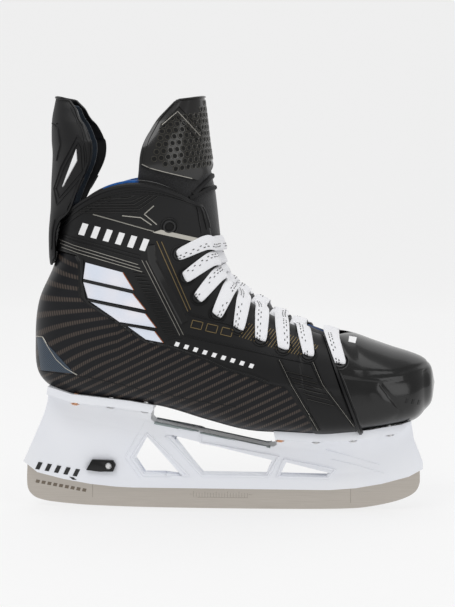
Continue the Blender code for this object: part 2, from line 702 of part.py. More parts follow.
def make_holder(cutters, frames):
    white = material("holder_white", (0.85, 0.85, 0.87), 0.35)
    steel = material("runner_steel", (0.55, 0.53, 0.5), 0.3, 1.0)
    metal = material("rivet_steel", (0.6, 0.6, 0.6), 0.3, 1.0)
    black = material("lever_black", (0.015, 0.015, 0.015), 0.35)
    wide = FLANGE_SHARE * BOOT_WIDTH
    holder = add_object("holder", extrude_outline(holder_outline(), -wide, wide), white)
    boolean(holder, helper("holder_envelope", envelope()), "INTERSECT")
    boolean(holder, helper("sole_cutter", sole_cutter()))
    openings = bmesh.new()
    for corners in TRUSS.values():
        join(openings, extrude_outline([web(*c) for c in corners], -wide, wide))
    slot = RUNNER_THICK / 2 + SLOT_CLEAR
    join(openings, extrude_outline(slot_outline(), -slot, slot))
    boolean(holder, helper("truss_cutter", openings))
    boolean(holder, cutters)
    half = RUNNER_THICK / 2
    pivot = (runner_x(126), 0, 30 * MM)
    add_object("runner", extrude_outline(runner_outline(), -half, half), steel, pivot)
    at = Vector((runner_x(LEVER_AT[0]), 0, LEVER_AT[1] * MM))
    face = -(HOLDER_WIDTH / 2 + GAP)
    size = LEVER_LENGTH / 22
    outline = [(at.x + x * size, at.z + z * size) for x, z in LEVER_OUTLINE]
    lever = add_object("release_lever", extrude_outline(outline, face - LEVER_THICK, face), black, at)
    screw_hole = turned([(0, -20 * MM), (1.9 * MM, -20 * MM), (1.9 * MM, -2.8 * MM), (0, -2.8 * MM)],
                        Matrix.Translation(at) @ Matrix.Rotation(-math.pi / 2, 4, "X"), 12)
    boolean(lever, helper("screw_cutter", screw_hole))
    boolean(holder, bpy.data.objects["screw_cutter"])
    head = face - LEVER_THICK - GAP
    profile = [(0, head - 1.2 * MM), (LEVER_SCREW * 0.7, head - 1.2 * MM), (LEVER_SCREW, head)]
    profile += [(1.5 * MM, head), (1.5 * MM, -3.2 * MM), (0, -3.2 * MM)]
    frame = Matrix.Translation(at) @ Matrix.Rotation(-math.pi / 2, 4, "X")
    add_object("lever_screw", turned(profile, frame, 12), metal, at)
    copper = material("rivet_copper", (0.7, 0.35, 0.2), 0.35, 1.0)
    low = -(FLANGE_THICK + 4 * GAP)
    profile = [(0, low - RIVET_HEAD_RISE), (RIVET_HEAD * 0.6, low - RIVET_HEAD_RISE * 0.8)]
    profile += [(RIVET_HEAD, low), (RIVET_SHANK, low), (RIVET_SHANK, 3.5 * MM), (0, 3.5 * MM)]
    for (n, side), frame in frames.items():
        name = f"rivet_{'outer' if side < 0 else 'inner'}_{n}"
        mat = copper if n in (1, 4) else metal
        add_object(name, turned(profile, frame, 8), mat)


# ---- lace ----------------------------------------------------------------------------------------


def tongue_near(target, share, offset):
    """Point of the tongue's outer face nearest a place on the centre line."""
    ts = np.linspace(0, TONGUE_FOLD, 120)
    best = min(ts, key=lambda t: (wrap(TONGUE, t, 0, 0, 1) - target).length)
    return wrap(TONGUE, best, share, offset, 1)


def lace_route(places):
    """The whole lace as (point, across) pairs, from one tip to the other."""
    inside, outside = -(FACING_WALL + SHELL_WALL + 3.0 * MM), EYELET_RISE + 1.2 * LACE_THICK

    def across_at(level, side):
        low, high = places[max(level - 1, 0), side][0], places[level + 1, side][0]
        return (high - low).normalized()

    def through(level, side, outwards):
        point, normal, _ = places[level, side]
        pair = [(point + normal * inside, across_at(level, side)),
                (point + normal * outside, across_at(level, side))]
        return pair if outwards else pair[::-1]

    def edge(level, part, side, offset, inset=0.4):
        """A place by the throat edge, between two levels, inset in columns from the edge."""
        column = BOOT_SKIN.half - inset
        if level == 0 and part == 0:
            point, _ = CAP_SKIN.facet(CAP_EYELET[0] * 0.8, column, side, offset)
            return point + Vector((CAP_SEAM, 0, 0)), across_at(0, side)
        a, b = places[max(level, 1), side][2], places[min(level + 1, LACED_EYELETS), side][2]
        row = a + part * (b - a)
        point, _ = BOOT_SKIN.facet(row, column, side, offset)
        return point, across_at(min(level, LACED_EYELETS), side)

    def crossing(level, side, over):
        """From the outside of this eyelet across the tongue to under the other edge."""
        over_edge, under_edge = FACING_WALL + 1.8 * MM, -(SHELL_WALL + 2.5 * MM)
        start, way = edge(level, 0.25, side, over_edge, 0.05)
        end, _ = edge(level, 0.75, -side, under_edge)
        middle = (start + end) / 2
        low = max(2.4, 2.4 * BOOT_LENGTH / (PATTERN[0] * MM)) * MM
        lift = low + (1.5 * MM if over else 0.1 * MM)
        path = [edge(level, 0.12, side, over_edge + 0.9 * MM, HALFWAY)]
        path += [edge(level, 0.2, side, over_edge + 0.7 * MM, 1), (start, way)]
        path.append((tongue_near(middle * 0.65 + start * 0.35, side * 0.3, lift), way))
        path.append((tongue_near(middle, 0, lift), way))
        path.append((tongue_near(middle * 0.65 + end * 0.35, -side * 0.3, low), way))
        path.append((tongue_near(middle * 0.35 + end * 0.65, -side * 0.55, 0.8 * low), way))
        path.append((end, way))
        path.append(edge(level, 0.88, -side, under_edge, HALFWAY))
        return path

    halves = []
    for first in (-1, 1):
        side = first
        path = through(0, side, False)
        for level in range(1, LACED_EYELETS + 1):
            path += through(level, side, True)
            path += crossing(level, side, over=(side < 0) == (level % 2 == 0))
            side = -side
        halves.append(path)
    bar = [edge(0, 0, -1, 2.6 * MM, HALFWAY), edge(0, 0, -1, 1.8 * MM)]
    far = [edge(0, 0, 1, 1.8 * MM), edge(0, 0, 1, 2.6 * MM, HALFWAY)]
    middle = (bar[1][0] + far[0][0]) / 2
    bar.append((middle + Vector((0, 0, 3 * MM)), bar[0][1]))
    bar += far
    return halves[0][::-1] + bar + halves[1]


def make_lace(places):
    white = material("lace_white", (0.85, 0.85, 0.87), 0.8)
    route = lace_route(places)
    rings = []
    for i, (point, across) in enumerate(route):
        before, after = route[max(i - 1, 0)][0], route[min(i + 1, len(route) - 1)][0]
        along = (after - before).normalized()
        w = (across - across.dot(along) * along).normalized() * (LACE_WIDTH / 2)
        n = along.cross(w).normalized() * (LACE_THICK / 2)
        rings.append([point + w + n, point - w + n, point - w - n, point + w - n])
    add_object("lace", loft(rings), white)


# ---- assembly ------------------------------------------------------------------------------------


def build():
    clear_scene()
    places = eyelet_places()
    frames = rivet_frames()
    bm = bmesh.new()
    eyelet_cutter(places, bm)
    hole = RIVET_SHANK + GAP
    for frame in frames.values():
        join(bm, turned([(0, -14 * MM), (hole, -14 * MM), (hole, 7 * MM), (0, 7 * MM)], frame, 8))
    cutters = helper("hole_cutters", bm)
    make_boot(cutters)
    make_eyelets(places)
    make_tongue()
    make_guard()
    make_holder(cutters, frames)
    make_lace(places)


build()
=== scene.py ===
# %% [markdown]
# # An ice hockey skate
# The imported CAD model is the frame: it fixes where every part is and how it moves. This script gives
# each part its look. It starts by loading that frame, and every later cell measures from it.

# %% Load the frame
import math

import bmesh
import bpy
import numpy as np
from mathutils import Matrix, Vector
from mathutils.bvhtree import BVHTree


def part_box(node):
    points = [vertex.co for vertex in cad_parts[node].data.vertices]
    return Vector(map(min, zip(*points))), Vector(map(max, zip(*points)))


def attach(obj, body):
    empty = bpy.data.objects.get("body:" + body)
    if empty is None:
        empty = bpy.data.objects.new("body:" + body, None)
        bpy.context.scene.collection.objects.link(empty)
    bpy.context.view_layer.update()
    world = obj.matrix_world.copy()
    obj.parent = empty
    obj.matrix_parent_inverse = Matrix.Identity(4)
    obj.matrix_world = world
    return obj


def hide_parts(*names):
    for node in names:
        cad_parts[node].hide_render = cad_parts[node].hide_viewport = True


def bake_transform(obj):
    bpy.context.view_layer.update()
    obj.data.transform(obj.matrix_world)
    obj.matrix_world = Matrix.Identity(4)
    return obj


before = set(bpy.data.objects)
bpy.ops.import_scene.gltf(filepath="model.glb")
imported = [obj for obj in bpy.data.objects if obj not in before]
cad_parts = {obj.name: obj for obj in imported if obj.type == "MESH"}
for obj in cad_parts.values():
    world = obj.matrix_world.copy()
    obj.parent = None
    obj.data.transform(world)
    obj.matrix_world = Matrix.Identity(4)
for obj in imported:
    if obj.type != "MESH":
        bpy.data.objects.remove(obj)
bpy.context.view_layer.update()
MM = 0.001

# %% [markdown]
# ## Small helpers
# Four jobs come back all the time: turning a hex colour into Blender's linear values, adding a shader
# or geometry node, making a mesh object from points and faces, and running a Geometry Nodes tree and
# keeping its result as a plain mesh. Each gets one short function.

# %% Colour, node and mesh helpers


def linear(code):
    """A hex sRGB colour as the linear RGBA that Blender's sockets take."""
    parts = [int(code[i:i + 2], 16) / 255 for i in (1, 3, 5)]
    return (*[c / 12.92 if c <= 0.04045 else ((c + 0.055) / 1.055) ** 2.4 for c in parts], 1.0)


def add(tree, kind, inputs=None, **settings):
    """Adds a node. A value in inputs that is a socket is linked, any other is set."""
    node = tree.nodes.new(kind)
    for name, value in settings.items():
        setattr(node, name, value)
    for name, value in (inputs or {}).items():
        if isinstance(value, bpy.types.NodeSocket):
            tree.links.new(value, node.inputs[name])
        else:
            node.inputs[name].default_value = value
    return node


def mesh_object(name, points, faces, material, sharp=40, merge=True):
    """A plain mesh object at the origin, its doubles merged and its normals outwards."""
    mesh = bpy.data.meshes.new(name)
    mesh.from_pydata([tuple(p) for p in points], [], [tuple(int(i) for i in f) for f in faces])
    if merge:
        bm = bmesh.new()
        bm.from_mesh(mesh)
        bmesh.ops.remove_doubles(bm, verts=bm.verts, dist=0.01 * MM)
        bmesh.ops.dissolve_degenerate(bm, edges=bm.edges, dist=0.005 * MM)
        bmesh.ops.recalc_face_normals(bm, faces=bm.faces)
        bm.to_mesh(mesh)
        bm.free()
    mesh.shade_smooth()
    mesh.set_sharp_from_angle(angle=math.radians(sharp))
    mesh.materials.append(material)
    obj = bpy.data.objects.new(name, mesh)
    bpy.context.scene.collection.objects.link(obj)
    return obj


def group_tree(name, sizes):
    """A Geometry Nodes tree with a Geometry input and one named float input for each size."""
    tree = bpy.data.node_groups.new(name, "GeometryNodeTree")
    tree.interface.new_socket("Geometry", in_out="INPUT", socket_type="NodeSocketGeometry")
    for size in sizes:
        tree.interface.new_socket(size, in_out="INPUT", socket_type="NodeSocketFloat")
    tree.interface.new_socket("Material", in_out="INPUT", socket_type="NodeSocketMaterial")
    tree.interface.new_socket("Geometry", in_out="OUTPUT", socket_type="NodeSocketGeometry")
    return tree, add(tree, "NodeGroupInput")


def close_tree(tree, start, geometry):
    """Ends a tree in Realize Instances and Set Material."""
    real = add(tree, "GeometryNodeRealizeInstances", {"Geometry": geometry})
    made = add(tree, "GeometryNodeSetMaterial",
               {"Geometry": real.outputs[0], "Material": start.outputs["Material"]})
    add(tree, "NodeGroupOutput", {"Geometry": made.outputs[0]})
    return tree


def grow(name, source, tree, sizes, material, sharp=40):
    """Runs a tree on a mesh of points or edges and keeps the result as a plain mesh object."""
    source.data.materials.clear()
    step = source.modifiers.new("grow", "NODES")
    step.node_group = tree
    inputs = {s.name: s.identifier for s in tree.interface.items_tree if s.in_out == "INPUT"}
    for size, value in sizes.items():
        step[inputs[size]] = value
    step[inputs["Material"]] = material
    bpy.context.view_layer.update()
    view = source.evaluated_get(bpy.context.evaluated_depsgraph_get())
    mesh = bpy.data.meshes.new_from_object(view)
    source.modifiers.remove(step)
    bpy.data.objects.remove(source)
    mesh.name = name
    mesh.shade_smooth()
    mesh.set_sharp_from_angle(angle=math.radians(sharp))
    if not mesh.materials:
        mesh.materials.append(material)
    obj = bpy.data.objects.new(name, mesh)
    bpy.context.scene.collection.objects.link(obj)
    print(name, len(mesh.polygons), "faces")
    return obj


def guide(points, edges, **vectors):
    """A mesh of bare points and edges that carries vector attributes for a tree to read."""
    mesh = bpy.data.meshes.new("guide")
    mesh.from_pydata([tuple(p) for p in points], edges, [])
    for name, values in vectors.items():
        layer = mesh.attributes.new(name, "FLOAT_VECTOR", "POINT")
        layer.data.foreach_set("vector", np.asarray(values, float).ravel())
    obj = bpy.data.objects.new("guide", mesh)
    bpy.context.scene.collection.objects.link(obj)
    return obj


def finish_piece(obj, body, slot, *nodes):
    """Rides a finished piece on its body, and hides the CAD nodes it stands for."""
    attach(obj, body)
    if nodes:
        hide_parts(*nodes)
    return obj


print("helpers ready")

# %% [markdown]
# ## The boot's surface
# A skate boot is moulded on a last, so every layer follows one surface. The CAD part describes it by
# stations: sections from the underside or the back up to the lace edge. The same rule is repeated here
# at a finer step, which keeps the look within about 1 mm of the CAD shape and makes round parts round.

# %% Stations of the last and the curve through them
SOLE_HEIGHT = 60.5  # mm from the ice to the sole at the ball
# underside or back x, z | lace edge x, z | half width | half gap | lift | widest at | squareness | toe-in
BOOT = (
    (104, 1, 77, 70.5, 49.0, 19, 0, 0.40, 0.58, 3.5),
    (78, -1, 60, 76.5, 51.0, 20, 0, 0.40, 0.56, 3.0),
    (50, 0, 42, 83.5, 50.0, 20, 0, 0.40, 0.56, 2.5),
    (20, 1.5, 24, 94, 47.0, 20, 0, 0.40, 0.57, 2.0),
    (-10, 8.5, 10, 105, 44.0, 20, 0, 0.40, 0.60, 1.5),
    (-45, 18, -1, 118, 41.0, 21, 0, 0.42, 0.64, 1.0),
    (-85, 23, -5.5, 130, 39.0, 22, 0, 0.44, 0.68, 0.5),
    (-118, 27, -7.5, 140, 38.0, 23, 0, 0.45, 0.76, 0),
    (-138, 41, -9, 149, 38.5, 24, 1, 0.46, 0.88, 0),
    (-141, 68, -10, 155, 41.0, 25, 5, 0.47, 0.96, 0),
    (-138, 97, -11.5, 160, 44.0, 26, 12, 0.48, 1.0, 0),
    (-126, 125, -13, 164.5, 47.0, 27, 26, 0.49, 1.0, 0),
    (-119, 156, -15, 168, 49.0, 28, 46, 0.50, 1.0, 0),
)
CAP = (
    (104.5, 1, 77.5, 70.5, 49.0, 19, 0, 0.40, 0.58, 3.5),
    (112, 1.7, 87, 72.5, 48.5, 15, 0, 0.42, 0.60, 3.8),
    (119, 2.7, 97, 72, 47.5, 0, 0, 0.42, 0.64, 4.0),
    (128, 4.1, 111, 67.2, 45.5, 0, 0, 0.44, 0.70, 4.3),
    (137, 5.5, 126, 62, 42.0, 0, 0, 0.46, 0.76, 4.7),
    (145, 8.1, 140, 57.7, 36.5, 0, 0, 0.48, 0.82, 5.2),
    (151, 13.5, 149.5, 53.5, 28.0, 0, 0, 0.50, 0.88, 5.7),
    (155.3, 22.5, 154.8, 47.5, 17.0, 0, 0, 0.50, 0.95, 6.1),
    (157.4, 36, 157.4, 36, 0.0, 0, 0, 0.50, 1.0, 6.5),
)
CAP_SEAM = 0.8


def spline(rows, t):
    """Catmull-Rom curve through the rows, at an array of positions counted in rows."""
    rows, t = np.asarray(rows, float), np.atleast_1d(np.asarray(t, float))
    i = np.clip(t.astype(int), 0, len(rows) - 2)
    f = (t - i)[:, None]
    wide = np.vstack([2 * rows[0] - rows[1], rows, 2 * rows[-1] - rows[-2]])
    a, b, c, d = wide[i], wide[i + 1], wide[i + 2], wide[i + 3]
    return b + 0.5 * f * (c - a + f * (2 * a - 5 * b + 4 * c - d + f * (3 * (b - c) + d - a)))


def skin(stations, us, vs):
    """Grid of points in mm on the last: one row for each u, with v from -1 to 1 round the section."""
    rows = spline(stations, us)
    vs = np.broadcast_to(vs, (len(rows), np.shape(vs)[-1]))
    bx, bz, tx, tz, half, gap, lift, widest, square, shift = rows.T[:, :, None]
    half, gap = np.maximum(half, 0), np.maximum(gap, 0)
    turn = np.abs(vs) * math.pi
    rising = np.clip(turn, 0, math.pi / 2)
    closing = np.clip(turn - math.pi / 2, 0, math.pi / 2)
    along = widest * (1 - np.cos(rising).clip(0) ** square) + (1 - widest) * np.sin(closing)
    wide = np.where(turn <= math.pi / 2, half * np.sin(rising) ** square,
                    gap + (half - gap) * np.cos(closing))
    x = bx + along * (tx - bx)
    z = SOLE_HEIGHT + bz + along * (tz - bz) + 2 * along * (1 - along) * lift
    return np.stack([x, np.sign(vs) * wide + shift, z], axis=-1)


def grid_normals(points):
    """Outward unit normals of a grid of points, by its own rows and columns."""
    normals = np.cross(np.gradient(points, axis=0), np.gradient(points, axis=1))
    size = np.linalg.norm(normals, axis=-1, keepdims=True)
    normals = np.divide(normals, size, out=np.zeros_like(normals), where=size > 1e-9)
    outwards = points - points.mean(axis=1, keepdims=True)
    if (normals * outwards).sum() < 0:
        normals = -normals
    flat = size[..., 0] <= 1e-9
    normals[flat] = (1, 0, 0)
    return normals


def between(outer, inner, seam=False, pole=False):
    """Points and faces of the solid between two grids. seam and pole leave out rims that close up."""
    rows, cols = outer.shape[:2]
    index = np.arange(rows * cols).reshape(rows, cols)
    back = index + rows * cols
    quads = lambda n: [n[:-1, :-1], n[1:, :-1], n[1:, 1:], n[:-1, 1:]]
    faces = [np.stack(quads(index), -1).reshape(-1, 4), np.stack(quads(back)[::-1], -1).reshape(-1, 4)]
    rims = [(index[0], back[0])] + ([] if pole else [(index[-1], back[-1])])
    if not seam:
        rims += [(index[:, 0], back[:, 0]), (index[:, -1], back[:, -1])]
    for a, b in rims:
        faces.append(np.stack([a[:-1], a[1:], b[1:], b[:-1]], -1))
    if seam:
        open_rows = np.linalg.norm(outer[:, 0] - outer[:, -1], axis=-1) > 0.05
        for a, b in ((index[:, 0], back[:, 0]), (index[:, -1], back[:, -1])):
            wall = np.stack([a[:-1], a[1:], b[1:], b[:-1]], -1)
            faces.append(wall[open_rows[:-1] | open_rows[1:]])
    return np.concatenate([outer.reshape(-1, 3), inner.reshape(-1, 3)]) * MM, np.concatenate(faces)


def smooth_step(value):
    """0 below 0, 1 above 1, and a smooth rise between."""
    value = np.clip(value, 0, 1)
    return value * value * (3 - 2 * value)


print("boot surface:", len(BOOT), "stations of the boot and", len(CAP), "of the cap")

# %% [markdown]
# ## Drawing on the sides
# The overlays, windows and lines of the side are drawn flat, in millimetres along the skate and above
# the ice. They are then thrown onto the side from one point beside the skate, as a slide projector
# would, so that lines drawn straight look straight. The inner side gets the mirror image.

# %% Throw flat drawings onto the skate
EYE_DISTANCE = 1560.0
SENSOR_WIDTH, VIEW_HEIGHT = 36, 455.25  # the camera's film, and how much it shows at the skate, in mm
EYE_TURN, EYE_RISE = math.radians(3.5), math.radians(5.0)
AIM = np.array((3.75, 0.0, 155.25))
EYE = AIM + EYE_DISTANCE * np.array((
    math.sin(EYE_TURN) * math.cos(EYE_RISE), -math.cos(EYE_TURN) * math.cos(EYE_RISE), math.sin(EYE_RISE)))


def flat_place(points):
    """Where points of the skate, in mm, lie on the flat drawing: arrays of x and z."""
    side = np.where(points[..., 1] > 0, 1, -1)
    y = -np.abs(points[..., 1]) * np.ones_like(side)
    reach = -EYE[1] / (y - EYE[1])
    return EYE[0] + reach * (points[..., 0] - EYE[0]), EYE[2] + reach * (points[..., 2] - EYE[2])


def thrown(tree, x, z, side, rise=0.0):
    """Point and normal where the drawing's (x, z) lands on a surface tree, in mm."""
    eye = Vector((EYE[0], -side * EYE[1], EYE[2]))
    way = (Vector((x, 0, z)) - eye).normalized()
    point, normal, _, _ = tree.ray_cast(eye, way)
    if point is None:
        point, normal, _, _ = tree.find_nearest(Vector((x, side * 30, z)))
    if normal.dot(way) > 0:
        normal = -normal
    return point + normal * rise, normal


def surface_tree(*grids):
    """A search tree over grids of points, for throwing drawings on."""
    points, faces, base = [], [], 0
    for grid in grids:
        rows, cols = grid.shape[:2]
        n = np.arange(rows * cols).reshape(rows, cols) + base
        faces.append(np.stack([n[:-1, :-1], n[1:, :-1], n[1:, 1:], n[:-1, 1:]], -1).reshape(-1, 4))
        points.append(grid.reshape(-1, 3))
        base += rows * cols
    return BVHTree.FromPolygons(np.concatenate(points).tolist(), np.concatenate(faces).tolist())


def dense(line, step=1.5):
    """A polyline with extra points, at most one step apart."""
    line = np.asarray(line, float)
    out = [line[:1]]
    for a, b in zip(line, line[1:]):
        count = max(1, round(float(np.linalg.norm(b - a)) / step))
        out.append(a + (b - a) * (np.arange(1, count + 1) / count)[:, None])
    return np.concatenate(out)


def line_height(line, x):
    xs, zs = zip(*line)
    return np.interp(x, xs, zs)


print("drawings are thrown from", [round(float(c)) for c in EYE], "mm")

# %% [markdown]
# ## Raised lines and small repeated things
# Ribs, piping and printed lines all are a narrow bar that follows the surface, so one Geometry Nodes
# tree makes them: a curve whose normal is the surface's, swept with a trapezoid. Stitches, holes and
# dashes are one small shape placed on points, turned to the surface, by a second kind of tree.

# %% The rib tree and the scatter trees
SUNK = 0.6 * MM  # how far a rib's foot lies under the surface


def rib_tree():
    tree, start = group_tree("rib", ("Width", "Rise", "Top share"))
    path = add(tree, "GeometryNodeMeshToCurve", {"Mesh": start.outputs["Geometry"]})
    up = add(tree, "GeometryNodeInputNamedAttribute", {"Name": "up"}, data_type="FLOAT_VECTOR")
    turned = add(tree, "GeometryNodeSetCurveNormal", {"Curve": path.outputs[0]}, mode="FREE")
    tree.links.new(up.outputs["Attribute"], turned.inputs["Normal"])
    high = add(tree, "ShaderNodeMath", {0: start.outputs["Rise"], 1: SUNK}, operation="ADD")
    top = add(tree, "ShaderNodeMath", {0: start.outputs["Width"], 1: start.outputs["Top share"]},
              operation="MULTIPLY")
    profile = add(tree, "GeometryNodeCurvePrimitiveQuadrilateral", mode="TRAPEZOID")
    tree.links.new(start.outputs["Width"], profile.inputs["Bottom Width"])
    tree.links.new(top.outputs[0], profile.inputs["Top Width"])
    tree.links.new(high.outputs[0], profile.inputs["Height"])
    profile.inputs["Offset"].default_value = 0
    middle = add(tree, "ShaderNodeMath", {0: high.outputs[0], 1: 0.5}, operation="MULTIPLY")
    lift = add(tree, "ShaderNodeMath", {0: middle.outputs[0], 1: SUNK}, operation="SUBTRACT")
    shift = add(tree, "ShaderNodeCombineXYZ", {"X": lift.outputs[0]})
    laid = add(tree, "GeometryNodeTransform", {"Geometry": profile.outputs[0],
               "Translation": shift.outputs[0], "Rotation": (0, 0, -math.pi / 2)})
    swept = add(tree, "GeometryNodeCurveToMesh", {"Curve": turned.outputs[0],
                "Profile Curve": laid.outputs[0], "Fill Caps": True})
    return close_tree(tree, start, swept.outputs[0])


def scatter_tree(name, shape, sizes):
    """Places shape(tree, start) on every point, its Z along "up" and its X along "along"."""
    tree, start = group_tree(name, sizes)
    up = add(tree, "GeometryNodeInputNamedAttribute", {"Name": "up"}, data_type="FLOAT_VECTOR")
    along = add(tree, "GeometryNodeInputNamedAttribute", {"Name": "along"}, data_type="FLOAT_VECTOR")
    turn = add(tree, "FunctionNodeAxesToRotation", primary_axis="Z", secondary_axis="X")
    tree.links.new(up.outputs["Attribute"], turn.inputs["Primary Axis"])
    tree.links.new(along.outputs["Attribute"], turn.inputs["Secondary Axis"])
    cloud = add(tree, "GeometryNodeMeshToPoints", {"Mesh": start.outputs["Geometry"]})
    placed = add(tree, "GeometryNodeInstanceOnPoints", {"Points": cloud.outputs[0],
                 "Instance": shape(tree, start), "Rotation": turn.outputs[0]})
    return close_tree(tree, start, placed.outputs[0])


def block(tree, start):
    """A flat block of Length x Width x Height, lying on its point."""
    size = add(tree, "ShaderNodeCombineXYZ", {"X": start.outputs["Length"],
               "Y": start.outputs["Width"], "Z": start.outputs["Height"]})
    return add(tree, "GeometryNodeMeshCube", {"Size": size.outputs[0]}).outputs["Mesh"]


def ring(tree, start):
    """A round ring of Radius and Bead."""
    path = add(tree, "GeometryNodeCurvePrimitiveCircle", {"Resolution": 18})
    tree.links.new(start.outputs["Radius"], path.inputs["Radius"])
    bead = add(tree, "GeometryNodeCurvePrimitiveCircle", {"Resolution": 6})
    tree.links.new(start.outputs["Bead"], bead.inputs["Radius"])
    return add(tree, "GeometryNodeCurveToMesh",
               {"Curve": path.outputs[0], "Profile Curve": bead.outputs[0]}).outputs[0]


def disc(tree, start):
    """A round disc of Radius and Height."""
    made = add(tree, "GeometryNodeMeshCylinder", {"Vertices": 18})
    tree.links.new(start.outputs["Radius"], made.inputs["Radius"])
    tree.links.new(start.outputs["Height"], made.inputs["Depth"])
    return made.outputs["Mesh"]


RIB = rib_tree()
BLOCKS = scatter_tree("blocks", block, ("Length", "Width", "Height"))
RINGS = scatter_tree("rings", ring, ("Radius", "Bead"))
DISCS = scatter_tree("discs", disc, ("Radius", "Height"))


def ribs(name, surface, lines, material, width, rise, share=0.7, sides=(-1, 1), step=1.5):
    """Ribs along flat drawn lines, thrown on a surface. Sizes in mm."""
    points, edges, ups = [], [], []
    for side in sides:
        for line in lines:
            first = len(points)
            for x, z in dense(line, step):
                point, normal = thrown(surface, x, z, side)
                points.append(point * MM)
                ups.append(normal)
            edges += [(k, k + 1) for k in range(first, len(points) - 1)]
    source = guide(points, edges, up=ups)
    sizes = {"Width": width * MM, "Rise": rise * MM, "Top share": share}
    return grow(name, source, RIB, sizes, material)


def loop_ribs(name, runs, material, width, rise, share=0.7):
    """Ribs along ready runs of (points, normals) in mm."""
    points, edges, ups = [], [], []
    for line, normals in runs:
        first = len(points)
        points += [tuple(p * MM) for p in line]
        ups += [tuple(n) for n in normals]
        edges += [(k, k + 1) for k in range(first, len(points) - 1)]
    sizes = {"Width": width * MM, "Rise": rise * MM, "Top share": share}
    return grow(name, guide(points, edges, up=ups), RIB, sizes, material)


print("trees:", [t.name for t in (RIB, BLOCKS, RINGS, DISCS)])

# %% [markdown]
# ## Finishes
# Every finish starts from what the real one is and how its surface was made. All of them are one
# Principled shader; a helper makes it and hands back the node tree for the pattern.

# %% The finish helper


def finish(name, base, roughness, metallic=0.0, **sockets):
    """A material named for what it is, its tree and its shader."""
    mat = bpy.data.materials.new(name)
    mat.use_nodes = True
    tree = mat.node_tree
    shader = tree.nodes["Principled BSDF"]
    shader.inputs["Base Color"].default_value = linear(base)
    shader.inputs["Roughness"].default_value = roughness
    shader.inputs["Metallic"].default_value = metallic
    for socket, value in sockets.items():
        shader.inputs[socket.replace("_", " ")].default_value = value
    return mat, tree, shader


def maths(tree, operation, a, b=0.0, c=0.0):
    return add(tree, "ShaderNodeMath", {0: a, 1: b, 2: c}, operation=operation).outputs[0]


def places(tree):
    """Object coordinates, whole and as x, y, z sockets."""
    where = add(tree, "ShaderNodeTexCoord").outputs["Object"]
    return where, add(tree, "ShaderNodeSeparateXYZ", {"Vector": where}).outputs


def mixed(tree, share, low, high):
    """A colour between two hex colours or sockets."""
    as_colour = lambda c: linear(c) if isinstance(c, str) else c
    node = add(tree, "ShaderNodeMix", {0: share, 6: as_colour(low), 7: as_colour(high)},
               data_type="RGBA")
    return node.outputs[2]


def bumped(tree, shader, height, strength, distance_mm):
    bump = add(tree, "ShaderNodeBump", {"Height": height, "Strength": strength,
               "Distance": distance_mm * MM})
    tree.links.new(bump.outputs[0], shader.inputs["Normal"])


def noise(tree, where, size_mm, detail=2.0):
    """Noise whose lumps are about size_mm wide."""
    return add(tree, "ShaderNodeTexNoise", {"Vector": where, "Scale": 1 / (size_mm * MM),
               "Detail": detail}).outputs[0]


# %% [markdown]
# Carbon twill under clear lacquer: bundles of fibre show as rows of short slanted dashes. The rows
# climb towards the toe along the quarter and bend over to follow the heel. A real bundle is 2 mm wide
# with about 6 mm from row to row, which is what shows from a step away.

# %% Carbon composite


def carbon_composite():
    row_pitch, dash_pitch = 6.1 * MM, 2.0 * MM
    mat, tree, shader = finish("carbon_composite_lacquered", "#0b0c10", 0.42, Coat_Weight=0.12,
                               Coat_Roughness=0.22, Specular_IOR_Level=0.2)
    where, (x, _, z) = places(tree)
    behind = maths(tree, "MAXIMUM", maths(tree, "SUBTRACT", -0.075, x), 0.0)
    high = add(tree, "ShaderNodeMapRange", {0: z, 1: 0.105, 2: 0.2}, clamp=True).outputs[0]
    bend = maths(tree, "MULTIPLY", maths(tree, "MULTIPLY", behind, high), 0.85)
    across = maths(tree, "SUBTRACT", maths(tree, "MULTIPLY_ADD", x, -0.5, z), bend)
    along = maths(tree, "MULTIPLY_ADD", z, 0.5, x)
    row = maths(tree, "PINGPONG", maths(tree, "DIVIDE", across, row_pitch), 0.5)
    stripe = add(tree, "ShaderNodeMapRange", {0: row, 1: 0.26, 2: 0.40}, interpolation_type="SMOOTHSTEP")
    slant = maths(tree, "MULTIPLY_ADD", across, -0.55, along)
    dash = maths(tree, "PINGPONG", maths(tree, "DIVIDE", slant, dash_pitch), 0.5)
    tooth = add(tree, "ShaderNodeMapRange", {0: dash, 1: 0.14, 2: 0.36, 3: 0.25, 4: 1.0},
                interpolation_type="SMOOTHSTEP")
    bundle = maths(tree, "MULTIPLY", stripe.outputs[0], tooth.outputs[0])
    patchy = add(tree, "ShaderNodeMapRange", {0: noise(tree, where, 35, 1), 1: 0.3, 2: 0.7, 3: 0.75})
    bundle = maths(tree, "MULTIPLY", bundle, patchy.outputs[0])
    base = mixed(tree, bundle, "#0a0b10", "#50463f")
    tree.links.new(base, shader.inputs["Base Color"])
    bumped(tree, shader, bundle, 0.12, 0.15)
    return mat


CARBON = carbon_composite()
print("carbon ready")

# %% [markdown]
# The black parts differ mostly in gloss. Injected TPU comes out of its mould with a fine grain, so it is
# satin. The toe cap and the tongue's shield come out of polished moulds and reflect like lacquer.

# %% Moulded blacks


def moulded(name, base, roughness, grain_mm, strength, **sockets):
    mat, tree, shader = finish(name, base, roughness, **sockets)
    where, _ = places(tree)
    grain = noise(tree, where, grain_mm, 3)
    uneven = add(tree, "ShaderNodeMapRange", {0: noise(tree, where, 30, 1), 3: roughness - 0.05,
                 4: roughness + 0.06})
    tree.links.new(uneven.outputs[0], shader.inputs["Roughness"])
    bumped(tree, shader, grain, strength, 0.1)
    return mat


